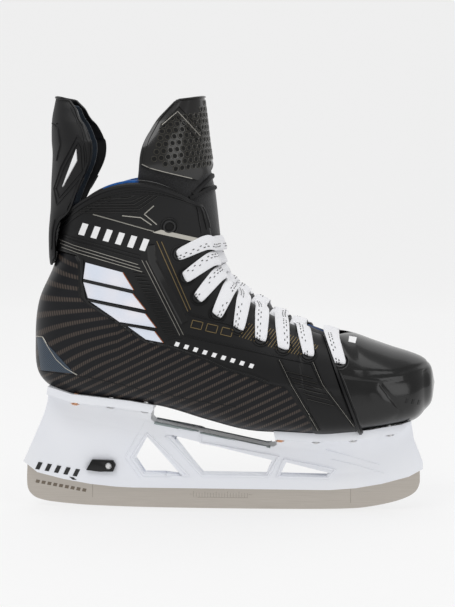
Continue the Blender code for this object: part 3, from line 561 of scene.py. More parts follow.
TPU_SATIN = moulded("tpu_satin_black", "#0f0f10", 0.4, 0.8, 0.12, Specular_IOR_Level=0.3)
TPU_DARK = moulded("tpu_deep_black", "#09090a", 0.3, 0.8, 0.08, Specular_IOR_Level=0.4)
TPU_MATTE = moulded("tpu_matte_black", "#171718", 0.55, 0.9, 0.2, Specular_IOR_Level=0.3)
NYLON_GLOSS = moulded("nylon_gloss_black", "#090909", 0.24, 6.0, 0.03, Coat_Weight=0.3, Coat_Roughness=0.1,
                      Specular_IOR_Level=0.35)
# partly painted highlight: a polished black, made a little lighter than the rest to stand for the light that
# fine raised ridges catch
RIDGE_PAINTED_HIGHLIGHT = moulded("tpu_polished_ridge_painted_highlight", "#1c1b1a", 0.2, 2.0, 0.02)
SHIELD_GLOSS = moulded("polycarbonate_gloss_black", "#100f0e", 0.18, 6.0, 0.03, Coat_Weight=0.3)
SILVER_FOIL = moulded("silver_foil_print", "#b9b6ae", 0.32, 2.0, 0.05, Metallic=0.75)
GOLD_FOIL = moulded("gold_foil_print", "#8d7a55", 0.36, 2.0, 0.05, Metallic=0.7)
COPPER_FOIL = moulded("copper_foil_print", "#a4603c", 0.36, 2.0, 0.05, Metallic=0.6)
WHITE_PRINT = moulded("white_print", "#f1f1f2", 0.5, 2.0, 0.03)
# black print, and also painted shade where it lines the slot of the lever's screw
BLACK_PRINT_AND_SHADE = moulded("black_print_and_shade", "#1b1b1c", 0.5, 2.0, 0.03)
# painted shadow: the near-black stands for the shade inside the collar's stitch holes, the shield's holes and
# the eyelet holes
HOLE_PAINTED_SHADOW = moulded("hole_painted_shadow", "#060606", 0.9, 2.0, 0.0)
print("moulded blacks and foils ready")

# %% [markdown]
# White nylon: the holder is injection moulded, faintly blue, with soft gloss. The pearl windows are the
# same white with a thin interference film, which tints them lilac and pale blue in broad patches.

# %% White nylon and pearl film


def white_nylon():
    mat, tree, shader = finish("nylon_white_moulded", "#eceef4", 0.36, Subsurface_Weight=0.0)
    where, _ = places(tree)
    tint = mixed(tree, noise(tree, where, 60, 1), "#e6e9f2", "#f3f4f6")
    tree.links.new(tint, shader.inputs["Base Color"])
    bumped(tree, shader, noise(tree, where, 1.2, 2), 0.04, 0.1)
    return mat


def pearl_film():
    mat, tree, shader = finish("pearl_film_white", "#eef0f6", 0.3, Coat_Weight=0.3)
    where, _ = places(tree)
    tint = mixed(tree, add(tree, "ShaderNodeMapRange", {0: noise(tree, where, 28, 1), 1: 0.35, 2: 0.65}
                           ).outputs[0], "#dfe6f3", "#f6f1f5")
    tree.links.new(tint, shader.inputs["Base Color"])
    return mat


NYLON_WHITE = white_nylon()
PEARL = pearl_film()
print("nylon and pearl film ready")

# %% [markdown]
# Steel and lacquered rings. The runner is ground flat along its length, so its grain is long
# streaks. A real grinding mark is about 0.05 mm wide; it is drawn 0.5 mm wide so that it shows.

# %% Metals


def ground_steel():
    mat, tree, shader = finish("steel_ground", "#b9b2a9", 0.36, metallic=0.85)
    where, _ = places(tree)
    stretched = add(tree, "ShaderNodeMapping", {"Vector": where, "Scale": (0.02, 1, 1)}).outputs[0]
    streaks = noise(tree, stretched, 0.5, 3)
    tone = mixed(tree, streaks, "#b0a89f", "#cbc5bd")
    tree.links.new(tone, shader.inputs["Base Color"])
    rough = add(tree, "ShaderNodeMapRange", {0: streaks, 3: 0.3, 4: 0.46}).outputs[0]
    tree.links.new(rough, shader.inputs["Roughness"])
    bumped(tree, shader, streaks, 0.08, 0.05)
    return mat


STEEL = ground_steel()
EYELET_LACQUER = moulded("aluminium_black_lacquer", "#161617", 0.3, 3.0, 0.03)
print("metals ready")

# %% [markdown]
# Cloth: the lace is a flat tube woven from waxed yarn, so it has a herringbone of fine diagonal threads
# about 1 mm apart. The liner is brushed microfibre, and the tongue and pads are felt and knit, which
# scatter light at their edges. Sheen gives that soft rim.

# %% Cloths


def woven_lace():
    mat, tree, shader = finish("lace_woven_waxed", "#f0f0f2", 0.72, Sheen_Weight=0.25)
    uv = add(tree, "ShaderNodeUVMap", uv_map="weave").outputs[0]
    u, v, _ = add(tree, "ShaderNodeSeparateXYZ", {"Vector": uv}).outputs
    fold = maths(tree, "ABSOLUTE", v)
    rise = maths(tree, "PINGPONG", maths(tree, "DIVIDE", maths(tree, "SUBTRACT", u, fold), 1.1 * MM), 0.5)
    thread = add(tree, "ShaderNodeMapRange", {0: rise, 1: 0.05, 2: 0.4}, interpolation_type="SMOOTHSTEP")
    tone = mixed(tree, thread.outputs[0], "#dcdde3", "#f7f7f8")
    tree.links.new(tone, shader.inputs["Base Color"])
    bumped(tree, shader, thread.outputs[0], 0.35, 0.15)
    return mat


def cloth(name, low, high, yarn_mm, roughness=0.85, strength=0.5):
    """Felt or knit: fine lumps of yarn_mm with two close tones."""
    mat, tree, shader = finish(name, low, roughness, Sheen_Weight=0.35, Sheen_Roughness=0.5)
    where, _ = places(tree)
    yarn = add(tree, "ShaderNodeTexVoronoi", {"Vector": where, "Scale": 1 / (yarn_mm * MM)}).outputs[0]
    tree.links.new(mixed(tree, yarn, high, low), shader.inputs["Base Color"])
    bumped(tree, shader, yarn, strength, 0.3)
    return mat


LACE_CLOTH = woven_lace()
LINER_BLUE = cloth("microfibre_blue", "#0b4f9e", "#1c6fc4", 1.2)


def blacken_rim(mat):
    """The liner's rim is black but for the part behind the ankle."""
    tree, shader = mat.node_tree, mat.node_tree.nodes["Principled BSDF"]
    _, (x, _, z) = places(tree)
    from_ankle = maths(tree, "ABSOLUTE", maths(tree, "ADD", x, 0.0715))
    behind = add(tree, "ShaderNodeMapRange", {0: from_ankle, 1: 0.011, 2: 0.014, 3: 1.0, 4: 0.0}).outputs[0]
    deep = add(tree, "ShaderNodeMapRange", {0: z, 1: 0.186, 2: 0.194, 3: 1.0, 4: 0.0}).outputs[0]
    shown = maths(tree, "MAXIMUM", behind, deep)
    blue = shader.inputs["Base Color"].links[0].from_socket
    mix = mixed(tree, shown, "#0c0c0d", blue)
    tree.links.new(mix, shader.inputs["Base Color"])


blacken_rim(LINER_BLUE)
TONGUE_CLOTH = cloth("tongue_knit_black", "#111112", "#262628", 1.1)
TONGUE_BLUE = cloth("tongue_binding_blue", "#0a2c5c", "#12467f", 1.0)
PAD_CLOTH = cloth("pad_knit_navy", "#0d1a26", "#172c3d", 1.2)
FOOTBED_CLOTH = cloth("footbed_knit_grey", "#3d3f42", "#55585c", 1.0)
print("cloths ready")

# %% [markdown]
# ## The carbon shell
# The shell is one moulding from the collar to the cap. It is a solid between two grids on the last, 3 mm
# apart, with grid rows close enough for a smooth outline.

# %% Shell


def shell_grid(offset, rows=150, cols=121, last=12.0):
    us, vs = np.linspace(0, last, rows), np.linspace(-1, 1, cols)
    points = skin(BOOT, us, vs)
    return points + grid_normals(points) * offset


def make_shell():
    points, faces = between(shell_grid(0), shell_grid(-3.0))
    return finish_piece(mesh_object("boot_shell_carbon", points, faces, CARBON), "boot", "carbon",
                        "boot_shell")


make_shell()
print("shell made")

# %% [markdown]
# ## Facings
# Each facing is an injected overlay: the cuff, the frame round the windows, the eyelet stay and the strap
# at the front. Its lower edge is drawn flat and found on each section of the last. The overlay stands
# 2.1 mm proud there, and thins to 0.7 mm on the strap.

# %% Facings
OVERLAY_EDGE = ((-175, 209), (-124, 194.7), (-109.5, 190.5), (-107.2, 186), (-106.6, 160), (-102.5, 155),
                (-57.1, 125.7), (-42.7, 122.3), (-12.8, 112.2), (3.9, 104.6), (23.3, 99.1), (34.4, 94.5),
                (48, 92), (71.5, 58), (73, 30), (200, 20))
STRAP_STEP = ((-200, 0), (30, 0), (36, 93), (60, 91.5), (130, 84))
FACING_RISE, STRAP_RISE = 2.1, 0.7


def overlay_start(us, side):
    """v on each section where the overlay begins, going up from the sole or the back."""
    vs = side * np.linspace(0.0, 1, 500)
    x, z = flat_place(skin(BOOT, us, vs))
    above = z > line_height(OVERLAY_EDGE, x)
    return np.abs(vs)[above.argmax(axis=1)]


def overlay_grids(side, rows=300, cols=70):
    us = np.linspace(0.02, 12.04, rows)
    share = np.concatenate([[0, 0, 0.004, 0.010, 0.018], np.linspace(0.03, 0.985, cols), [0.992, 0.998, 1]])
    edge_rise = np.interp(np.arange(len(share)), [0, 1, 2, 3, 4, 5], [-1, 0.1, 0.72, 0.92, 0.99, 1])
    edge_rise[-3:] = (0.97, 0.8, 0.45)
    start = overlay_start(us, side)[:, None]
    vs = side * (start + (1 - start) * share[None, :])
    points = skin(BOOT, us, vs)
    normals = grid_normals(points)
    x, z = flat_place(points)
    step = smooth_step((z - line_height(STRAP_STEP, x)) / 4 + 0.5)
    rise = (STRAP_RISE + (FACING_RISE - STRAP_RISE) * step) * edge_rise[None, :]
    rise[:2] *= 0.4
    rise[-2:] -= np.array([[0.5], [1.2]])
    outer = points + normals * rise[..., None]
    return outer, points + normals * -0.5


OUTER_GRIDS = {}
for side, name in ((-1, "outer"), (1, "inner")):
    outer, inner = overlay_grids(side)
    OUTER_GRIDS[side] = outer
    points, faces = between(outer, inner)
    finish_piece(mesh_object(f"facing_{name}_overlay", points, faces, TPU_SATIN), "boot", "moulded",
                 f"facing_{name}")
print("facings made:", OUTER_GRIDS[-1].shape)

# %% [markdown]
# ## Toe cap
# The cap is moulded nylon with a cheek pressed in below a crease. The relief is a push along the surface
# normals, by how far each point lies below the drawn line.

# %% Toe cap
CHEEK_LINE = ((40, 112), (70.5, 103.5), (95, 100), (117.6, 97.2), (135, 100.5), (154, 108), (170, 118))
BROW_LINE = ((40, 112), (76, 108.5), (98, 103.5), (126, 104), (152, 111.5), (170, 121))
CHEEK_DEPTH, BROW_DEPTH = 1.3, 0.9
CREASE = np.array(((117.0, 96.5), (134.5, 73.0)))


def cap_grids():
    us, vs = np.linspace(0, len(CAP) - 1, 130), np.linspace(-1, 1, 161)
    points = skin(CAP, us, vs)
    normals = grid_normals(points)
    closed = np.linalg.norm(points[:, 0] - points[:, -1], axis=-1) < 0.05
    both = normals[closed, 0] + normals[closed, -1]
    both /= np.linalg.norm(both, axis=-1, keepdims=True)
    normals[closed, 0] = normals[closed, -1] = both
    x, z = flat_place(points)
    below = line_height(CHEEK_LINE, x) - z
    under_brow = line_height(BROW_LINE, x) - z
    rise = -CHEEK_DEPTH * smooth_step(below / 2.5 + 0.5) - BROW_DEPTH * smooth_step(under_brow / 2 + 0.5)
    way = (CREASE[1] - CREASE[0]) / np.linalg.norm(CREASE[1] - CREASE[0])
    ahead = (x - CREASE[0, 0]) * way[0] + (z - CREASE[0, 1]) * way[1]
    aside = (x - CREASE[0, 0]) * way[1] - (z - CREASE[0, 1]) * way[0]
    on_crease = smooth_step(ahead / 2) * smooth_step((30 - ahead) / 4)
    rise -= 0.8 * np.exp(-((aside / 0.9) ** 2)) * on_crease
    rise += 0.5 * smooth_step(aside / 6) * on_crease * smooth_step((12 - aside) / 6)
    rise *= smooth_step((7.0 - us) / 1.0)[:, None] * smooth_step(us / 0.3)[:, None]
    outer = points + normals * (rise + 0.9)[..., None]
    outer[:2] = points[:2] + normals[:2] * np.array([0.0, 0.6])[:, None, None]
    shift = np.array((CAP_SEAM, 0, 0))
    return outer + shift, points + normals * -3.0 + shift


CAP_OUTER, CAP_INNER = cap_grids()
points, faces = between(CAP_OUTER, CAP_INNER, seam=True, pole=True)
finish_piece(mesh_object("toe_cap_gloss", points, faces, NYLON_GLOSS, sharp=50), "boot", "toe_cap", "toe_cap")
print("toe cap made")

# %% The surface that drawings land on
SKIN_TREE = surface_tree(shell_grid(0), OUTER_GRIDS[-1], OUTER_GRIDS[1], CAP_OUTER)
print("drawing surface ready")

# %% [markdown]
# ## Windows of pearl film
# Four slanted windows in the overlay show white film behind a black frame. Each is a four-cornered patch
# laid on the surface, with a copper edge towards the toe. The bars between are ribs of the overlay.

# %% Windows
WINDOWS = (
    ((-103.1, 185.6), (-75.0, 178.2), (-66.8, 165.0), (-104.8, 173.4)),
    ((-104.9, 170.9), (-67.6, 162.3), (-57.9, 150.2), (-101.5, 158.9)),
    ((-99.4, 155.9), (-58.0, 147.1), (-49.9, 136.6), (-77.5, 140.9)),
    ((-72.0, 138.0), (-51.0, 133.8), (-44.6, 125.3), (-57.8, 127.9)),
)


def patch(surface, corners, side, rise, columns=22, rows=8):
    """A grid laid on the surface inside four drawn corners, left top first and clockwise."""
    a, b, c, d = (np.array(p) for p in corners)
    grid = np.zeros((rows + 1, columns + 1, 3))
    for i, down in enumerate(np.linspace(0, 1, rows + 1)):
        left, right = a + (d - a) * down, b + (c - b) * down
        for j, over in enumerate(np.linspace(0, 1, columns + 1)):
            x, z = left + (right - left) * over
            grid[i, j] = thrown(surface, x, z, side, rise)[0]
    return grid


def patches(name, surface, shapes, material, rise, thick=0.5, sides=(-1, 1), columns=22, rows=8):
    """One object of flat patches, each a thin solid on the surface."""
    points, faces, base = [], [], 0
    for side in sides:
        for corners in shapes:
            outer = patch(surface, corners, side, rise, columns, rows)
            inner = patch(surface, corners, side, rise - thick, columns, rows)
            p, f = between(outer, inner)
            points.append(p)
            faces.append(f + base)
            base += len(p)
    return mesh_object(name, np.concatenate(points), np.concatenate(faces), material, sharp=35)


windows = patches("window_film", SKIN_TREE, WINDOWS, PEARL, 0.25)
finish_piece(windows, "boot", "holder")
edges = [[shape[1], shape[2]] for shape in WINDOWS]
finish_piece(ribs("window_edges_copper", SKIN_TREE, edges, COPPER_FOIL, 1.0, 0.45, 0.5),
             "boot", "rivet_copper")
frames = [((-105.0, 172.2), (-66.5, 163.7)), ((-101.8, 157.4), (-57.5, 148.5)),
          ((-79, 139.6), (-50.0, 135.2)),
          ((-105.2, 187.6), (-106.3, 172), (-103.8, 158.6), (-101.0, 155.3), (-79.2, 140.6), (-58.2, 126.5),
           (-43.5, 123.8))]
finish_piece(ribs("window_frames", SKIN_TREE, frames, TPU_DARK, 2.3, 0.9, 0.6), "boot", "moulded")

# %% [markdown]
# ## Lines and bands of the overlay
# The rest of the side is relief: nested grooves at the collar, a foil line and its bevelled bar, three
# chevrons, a slanting band with ridges, and fine hatching under the lace. Letters and names are left
# out; plain slanted bars stand in their places.

# %% Cuff relief
GROOVES = (
    ((-91, 233.2), (-71.5, 234.0), (-66, 236.0)),
    ((-94.8, 231), (-68.7, 231.4), (-59.4, 235.6)),
    ((-98.6, 229.0), (-66.4, 229.4), (-55.2, 236.2)),
    ((-102.3, 227), (-64.1, 227.6), (-51.6, 236.0)),
    ((-106, 225.0), (-62.5, 225.6), (-48.5, 235.4)),
    ((-108, 223.0), (-64, 223.4)),
)
# partly painted highlight: the collar's ridges are a lighter, polished black
finish_piece(ribs("cuff_ribs", SKIN_TREE, GROOVES, RIDGE_PAINTED_HIGHLIGHT, 1.3, 0.9, 0.3), "boot", "moulded")
finish_piece(ribs("cuff_foil_line", SKIN_TREE, [((-97, 221.8), (-51.5, 209.2))], SILVER_FOIL, 1.3, 0.9, 0.25),
             "boot", "rivet_steel")
BAR = (((-46.3, 210.6), (-19.3, 204.6), (-19.6, 201.4), (-52.5, 208.6)),)
finish_piece(patches("cuff_foil_bar", SKIN_TREE, BAR, SILVER_FOIL, 0.9, 1.4), "boot", "rivet_steel")
CHEVRONS = (((-75.3, 220.9), (-61.3, 219.5), (-53.3, 214.0)),
            ((-51.5, 228.4), (-58.7, 222.1), (-49.4, 214.4)))
finish_piece(ribs("cuff_chevrons", SKIN_TREE, CHEVRONS, SILVER_FOIL, 1.5, 0.6, 0.3), "boot", "rivet_steel")
LOW_LINES = (((-123, 203.0), (-112, 198.6), (-63.5, 184.2)), ((-122, 200.0), (-110, 195.6), (-62, 181.4)),
             ((-121, 197.2), (-109, 192.8), (-60.5, 178.8)))
finish_piece(ribs("cuff_fine_lines", SKIN_TREE, LOW_LINES, SILVER_FOIL, 0.75, 0.35, 0.4),
             "boot", "rivet_steel")
LOW_RIBS = (((-124, 207.6), (-110, 203.6), (-62, 190.6)), ((-123.5, 205.4), (-110, 201.0), (-62, 187.9)))
finish_piece(ribs("cuff_low_ribs", SKIN_TREE, LOW_RIBS, TPU_DARK, 1.5, 0.6, 0.5), "boot", "moulded")

# %% Plain bars where a name would be


def slanted_bars(start, end, count, length, height, lean):
    """Leaning bars in a row from start to end, as drawn corners."""
    (x0, z0), (x1, z1) = start, end
    way = np.array((x1 - x0, z1 - z0)) / math.hypot(x1 - x0, z1 - z0)
    out = []
    for share in np.linspace(0, 1, count):
        low = np.array((x0 + (x1 - x0) * share, z0 + (z1 - z0) * share))
        high = low + np.array((lean, height))
        out.append((high, high + way * length, low + way * length, low))
    return out


cuff_bars = slanted_bars((-108.4, 206.8), (-62.6, 195.4), 6, 4.4, 8.6, 3.4)
finish_piece(patches("cuff_bars", SKIN_TREE, cuff_bars, WHITE_PRINT, 0.35, 0.6, columns=6, rows=5),
             "boot", "holder")
side_bars = slanted_bars((-36.5, 123.2), (19.5, 107.2), 9, 3.1, 3.0, 1.5)
finish_piece(patches("side_bars", SKIN_TREE, side_bars, WHITE_PRINT, 0.3, 0.5, columns=4, rows=3),
             "boot", "holder")
frame_bars = slanted_bars((-24.0, 137.2), (-1.5, 132.0), 3, 8.0, 5.4, 1.6)
outlines = [[*corners, corners[0]] for corners in frame_bars]
finish_piece(ribs("side_outlines_gold", SKIN_TREE, outlines, GOLD_FOIL, 0.8, 0.35, 0.5),
             "boot", "rivet_copper")

# %% Slanting band with its ridges
BAND_GOLD = (((-49.5, 202.0), (-42.5, 186), (-26.0, 149.0)), ((-45.9, 201.6), (-38.8, 185), (-24.0, 150.5)))
BAND_SILVER = (((-60.7, 187.6), (-32.2, 131.0)), ((-57.6, 187.2), (-29.4, 131.2)))
BAND_BEVEL = (((-53.8, 199.0), (-52.4, 186.5), (-28.6, 140.8)),)
finish_piece(ribs("band_lines_gold", SKIN_TREE, BAND_GOLD, GOLD_FOIL, 0.9, 0.5, 0.4), "boot", "rivet_copper")
finish_piece(ribs("band_lines_silver", SKIN_TREE, BAND_SILVER, SILVER_FOIL, 0.55, 0.5, 0.4),
             "boot", "rivet_steel")
finish_piece(ribs("band_bevel", SKIN_TREE, BAND_BEVEL, NYLON_GLOSS, 8.0, 1.3, 0.45), "boot", "toe_cap")
RIDGE_COUNT = 17
ridges = []
for share in np.linspace(0, 1, RIDGE_COUNT):
    left = np.array((-67.0, 177.8)) + share * (np.array((-44.0, 132.6)) - np.array((-67.0, 177.8)))
    right = np.array((-58.6, 177.2)) + share * (np.array((-34.6, 131.6)) - np.array((-58.6, 177.2)))
    ridges.append((left, right))
# partly painted highlight: the band's ridges are a lighter, polished black
finish_piece(ribs("band_ridges", SKIN_TREE, ridges, RIDGE_PAINTED_HIGHLIGHT, 1.3, 1.1, 0.25), "boot", "moulded")
print("band:", RIDGE_COUNT, "ridges on each side")

# %% Eyelet stay: borders and hatching
STAY_LINES = (
    ((-29.4, 131.2), (12.2, 121.9), (42.7, 115.0), (66.3, 110.1)),
    ((-26.0, 149.0), (-23.5, 146.6), (12.2, 137.8)),
    ((-42.0, 128.0), (-36, 129.4), (-31.0, 129.2)),
    ((-41, 123.6), (-12.8, 114.0), (3.9, 106.6), (23.3, 101.2), (34.4, 96.6)),
)
finish_piece(ribs("stay_borders", SKIN_TREE, STAY_LINES, TPU_DARK, 1.6, 0.7, 0.5), "boot", "moulded")
HATCH_COUNT = 25
hatching = []
for share in np.linspace(0, 1, HATCH_COUNT):
    foot_x = 12.5 + 52 * share
    foot_z = line_height(((12, 130.3), (42, 120.5), (66, 114.0)), foot_x)
    reach = 8.5 + 3.0 * math.sin(2.2 * share + 0.6)
    hatching.append(((foot_x, foot_z), (foot_x + reach * 0.75, foot_z + reach)))
finish_piece(ribs("stay_hatching", SKIN_TREE, hatching, GOLD_FOIL, 0.6, 0.25, 0.5), "boot", "rivet_copper")
STRAP_LINES = (((41.5, 113.0), (50.2, 95), (70.6, 60)), ((43.8, 113.2), (52.6, 95), (73.2, 60)),
               ((66.3, 111.0), (74.0, 94.2), (97.5, 63)), ((69.0, 112), (76.6, 94.2), (100.5, 63)))
finish_piece(ribs("strap_borders", SKIN_TREE, STRAP_LINES, TPU_DARK, 1.3, 0.8, 0.4), "boot", "moulded")
SHINES = (((42.7, 113.0), (51.4, 95), (71.9, 60)), ((67.7, 111.4), (75.3, 94.2), (99.0, 63)))
finish_piece(ribs("strap_piping", SKIN_TREE, SHINES, SILVER_FOIL, 0.35, 0.7, 0.4), "boot", "rivet_steel")
steps = [((47 + 3.4 * k, 104.5 - 4.2 * k), (68 + 3.2 * k, 99.5 - 4.2 * k)) for k in range(6)]
# partly painted highlight: the strap's ridges are a lighter, polished black
finish_piece(ribs("strap_ridges", SKIN_TREE, steps, RIDGE_PAINTED_HIGHLIGHT, 1.8, 0.9, 0.3), "boot", "moulded")

# %% [markdown]
# ## Heel badge and lower band
# A navy badge with a fine grid sits at the heel under a bright curved edge. Below it a wrap of carbon
# closes the boot's underside, which shows as one thin step along the side.

# %% Heel badge and lower band
BADGE = (((-140.5, 129.0), (-136.8, 128.6), (-112, 101.5), (-137.5, 104.0)),)
badge, badge_tree, badge_shader = finish("polycarbonate_navy_grid", "#1d2a38", 0.35)
_, (x, _, z) = places(badge_tree)
cross_lines = [maths(badge_tree, "PINGPONG", maths(badge_tree, "DIVIDE", a, 1.6 * MM), 0.5)
               for a in (maths(badge_tree, "ADD", x, z), maths(badge_tree, "SUBTRACT", x, z))]
mesh_line = maths(badge_tree, "MINIMUM", *cross_lines)
line_share = add(badge_tree, "ShaderNodeMapRange", {0: mesh_line, 1: 0.06, 2: 0.16}).outputs[0]
badge_tree.links.new(mixed(badge_tree, line_share, "#3d5063", "#172330"), badge_shader.inputs["Base Color"])
finish_piece(patches("heel_badge", SKIN_TREE, BADGE, badge, 0.35, 0.7), "boot", "moulded")
SWOOSH = (((-140.5, 129.6), (-136.0, 129.2), (-131.5, 121.0), (-126.0, 112.5), (-119.0, 105.8),
           (-110.0, 100.5)),)
finish_piece(ribs("heel_swoosh", SKIN_TREE, SWOOSH, SILVER_FOIL, 1.3, 0.6, 0.3), "boot", "rivet_steel")
LOWER_BAND = (((-139, 103.5), (-118, 100.6), (-100, 98.4), (-60, 89.4), (-20, 81.5), (10, 77)),)
finish_piece(ribs("lower_wrap_edge", SKIN_TREE, LOWER_BAND, TPU_SATIN, 1.2, 0.35, 0.3), "boot", "carbon")
print("side drawings done")

# %% [markdown]
# ## Collar, liner and footbed
# The blue liner is a padded layer inside the shell whose top rolls over the collar. A black binding is
# stitched round the same edge. Both follow the last, the liner as a solid, the binding as piping.

# %% Liner, collar binding and footbed


def make_liner():
    us, share = np.linspace(0.15, 12.02, 110), np.linspace(-1, 1, 91)
    reach = np.interp(us, [0, 9, 10.5, 12.02], [0.6, 0.62, 0.9, 0.985])[:, None]
    points = skin(BOOT, us, share[None, :] * reach)
    normals = grid_normals(points)
    roll = smooth_step((us - 11.55) / 0.47)[:, None, None]
    outer = points + normals * (-3.3 + 1.2 * roll)
    inner = points + normals * (-7.3 - 1.0 * roll)
    outer[-1] += (0, 0, 0.6)
    inner[-1] += (0, 0, 0.6)
    outer[-3:, :, 2] += np.array((0.4, 1.1, 1.6))[:, None]
    inner[-3:, :, 2] += np.array((0.2, 0.8, 1.2))[:, None]
    p, f = between(outer, inner)
    return mesh_object("liner_microfibre", p, f, LINER_BLUE, sharp=60)


finish_piece(make_liner(), "boot", "liner", "liner")


def edge_run(u_values, v_values, offset):
    """A run of points and normals on the last along paired u and v, pushed out in mm."""
    line, normals = [], []
    for u, v in zip(u_values, v_values):
        near = skin(BOOT, [u - 0.02, u, min(u + 0.02, 12.0)], np.array([v - 0.01, v, v + 0.01]).clip(-1, 1))
        n = grid_normals(near)[1, 1]
        n = n * np.sign(n[1] * v + 1e-9) if abs(v) > 0.2 else n
        line.append(near[1, 1] + n * offset)
        normals.append(n)
    return line, normals


def collar_runs(inset_u, inset_v, offset):
    """Round the collar and down both lace edges, inset from the edge."""
    runs = []
    down = np.linspace(0, 1, 60)
    top_v = np.linspace(-(1 - inset_v), 1 - inset_v, 141)
    runs.append((np.full(len(top_v), 12.0 - inset_u), top_v))
    for side in (-1, 1):
        runs.append((12.0 - inset_u - (3.4 - inset_u) * down, np.full(len(down), side * (1 - inset_v))))
    return [edge_run(u, v, offset) for u, v in runs]


finish_piece(loop_ribs("collar_binding", collar_runs(0.02, 0.012, 0.2), TPU_MATTE, 3.4, 2.6, 0.5),
             "boot", "moulded")
finish_piece(loop_ribs("collar_lines", collar_runs(0.17, 0.07, 2.0) + collar_runs(0.30, 0.12, 2.0), TPU_DARK,
                       1.1, 0.7, 0.5), "boot", "moulded")


def make_stitch_holes():
    points, ups, alongs = [], [], []
    for side in (-1, 1):
        for v in np.linspace(0.30, 0.86, 34):
            line, normals = edge_run([11.78, 11.78], [side * v, side * (v + 0.005)], 2.0)
            points.append(line[0] * MM)
            ups.append(normals[0])
            alongs.append(line[1] - line[0])
    source = guide(points, [], up=ups, along=alongs)
    # painted shadow: dark dashes stand for the shade in the stitch holes
    return grow("collar_stitch_holes", source, BLOCKS, {"Length": 1.7 * MM, "Width": 0.9 * MM,
                "Height": 0.5 * MM}, HOLE_PAINTED_SHADOW)


finish_piece(make_stitch_holes(), "boot", "moulded")
print("collar done")

# %% [markdown]
# ## Tongue and tendon guard
# Both are sheets that wrap the leg. The CAD part gives each by stations down its centre line; the same
# rule at a finer step gives a smooth sheet. The tongue's felt is one sheet and is not attached to a body;
# the shield, its lines and the webbing over the fold ride on the upper tongue's body. The
# guard's top station lies 1.7 mm further back than the CAD's.

# %% Sheets that wrap the leg
# centre line x, z above the sole | half width | depth | half sweep in degrees | thickness share
TONGUE = (
    (104, 56.5, 22, 12, 60, 0.7), (96, 63.5, 24, 18, 62, 0.9), (88, 69, 26, 34, 64, 1),
    (68, 77.8, 27, 41, 65, 1), (48, 85.7, 28, 47, 65, 1), (28, 98.3, 29, 50, 65, 1),
    (9, 111, 29.7, 54.5, 66, 1), (-0.5, 124, 30.5, 55.5, 68, 1), (-1, 140, 31.2, 59, 72, 1),
    (-2.5, 156, 31.7, 60.5, 76, 1), (-5, 178, 34, 56, 84, 1), (-7.5, 190, 37, 55, 88, 1),
    (-9.5, 202, 41, 50, 90, 1), (-11.5, 216, 40, 46, 90, 1), (-13, 229, 34, 38, 90, 1),
    (-14.2, 239, 28, 30, 90, 1), (-15.6, 249.2, 20, 17.5, 90, 1),
)
GUARD = (
    (-129.3, 124, 17, 3.6, 90, 0.45), (-130, 132.5, 23, 7, 90, 0.8), (-130, 147.5, 26, 7.5, 90, 1),
    (-129.2, 159, 29, 11, 90, 1), (-128.6, 167.5, 33, 19, 90, 1), (-128, 185.5, 41, 26.5, 90, 1),
    (-127, 205.5, 44, 34.5, 90, 1), (-127.6, 217.5, 42.5, 34, 90, 1), (-127.3, 232, 36, 28, 90, 1),
    (-125.5, 242.5, 27, 21, 90, 1), (-124.2, 249.0, 18, 13, 90, 1),
)
TONGUE_FOLD = 10.17  # station of the fold
SHIELD_FOOT = 11.3
TOE_BENDS = sorted((row[2], row[9]) for row in BOOT)


def wrap(stations, ts, shares, offset, facing):
    """Grid of points in mm of a sheet round the leg: shares run -1 to 1 across it."""
    last = len(stations) - 1
    ts, shares = np.atleast_1d(np.asarray(ts, float)), np.atleast_1d(np.asarray(shares, float))
    x, z, half, depth, sweep, thin = spline(stations, ts).T[:, :, None]
    offset = np.where(np.asarray(offset) < 0, offset * thin, offset)
    ahead = spline(stations, np.minimum(ts + 0.05, last))
    behind = spline(stations, np.maximum(ts - 0.05, 0))
    run = ahead[:, :2] - behind[:, :2]
    run /= np.linalg.norm(run, axis=1, keepdims=True)
    nx, nz = run[:, 1:2] * facing, -run[:, :1] * facing
    angle = np.radians(sweep) * shares[None, :]
    inset = offset - (depth + offset) * (1 - np.cos(angle))
    side = (half + offset) * np.sin(angle)
    if facing > 0:
        side = side + np.interp(x, *zip(*TOE_BENDS))
    rise = SOLE_HEIGHT + z + nz * inset
    return np.stack([x + nx * inset, side, rise], axis=-1)


def round_shares(count, span=1.0):
    """Shares across a sheet, closer together at its edges so that the edge can be rounded."""
    inner = np.linspace(-0.975, 0.975, count)
    return span * np.concatenate([[-1, -0.995, -0.985], inner, [0.985, 0.995, 1]])


def soft_sheet(stations, t_from, t_to, near, far, facing, rows=70, count=48, span=1.0):
    """A sheet with rounded edges, as two grids: its outer and its inner face."""
    ts, shares = np.linspace(t_from, t_to, rows), round_shares(count, span)
    middle, half = (near + far) / 2, (far - near) / 2
    edge = np.ones(len(shares))
    edge[:3], edge[-3:] = (0.25, 0.65, 0.9), (0.9, 0.65, 0.25)
    ends = np.ones(rows)
    ends[:2], ends[-2:] = (0.45, 0.85), (0.85, 0.45)
    fat = half * edge[None, :] * ends[:, None]
    return wrap(stations, ts, shares, middle + fat, facing), wrap(stations, ts, shares, middle - fat, facing)


TOP = len(TONGUE) - 1
print("tongue of", TOP + 1, "stations, guard of", len(GUARD))

# %% Tongue: felt body
TONGUE_THICK = 6.0


def make_tongue_body():
    outer, inner = soft_sheet(TONGUE, 0, TOP, -TONGUE_THICK, -0.2, 1, rows=150)
    tongue = mesh_object("tongue_felt", *between(outer, inner), TONGUE_CLOTH, sharp=60)
    low, high = (wrap(TONGUE, TONGUE_FOLD + d, 0, 0, 1)[0, 0] * MM for d in (-0.3, 0.3))
    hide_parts("tongue_lower", "tongue_upper")
    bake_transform(tongue)
    return tongue


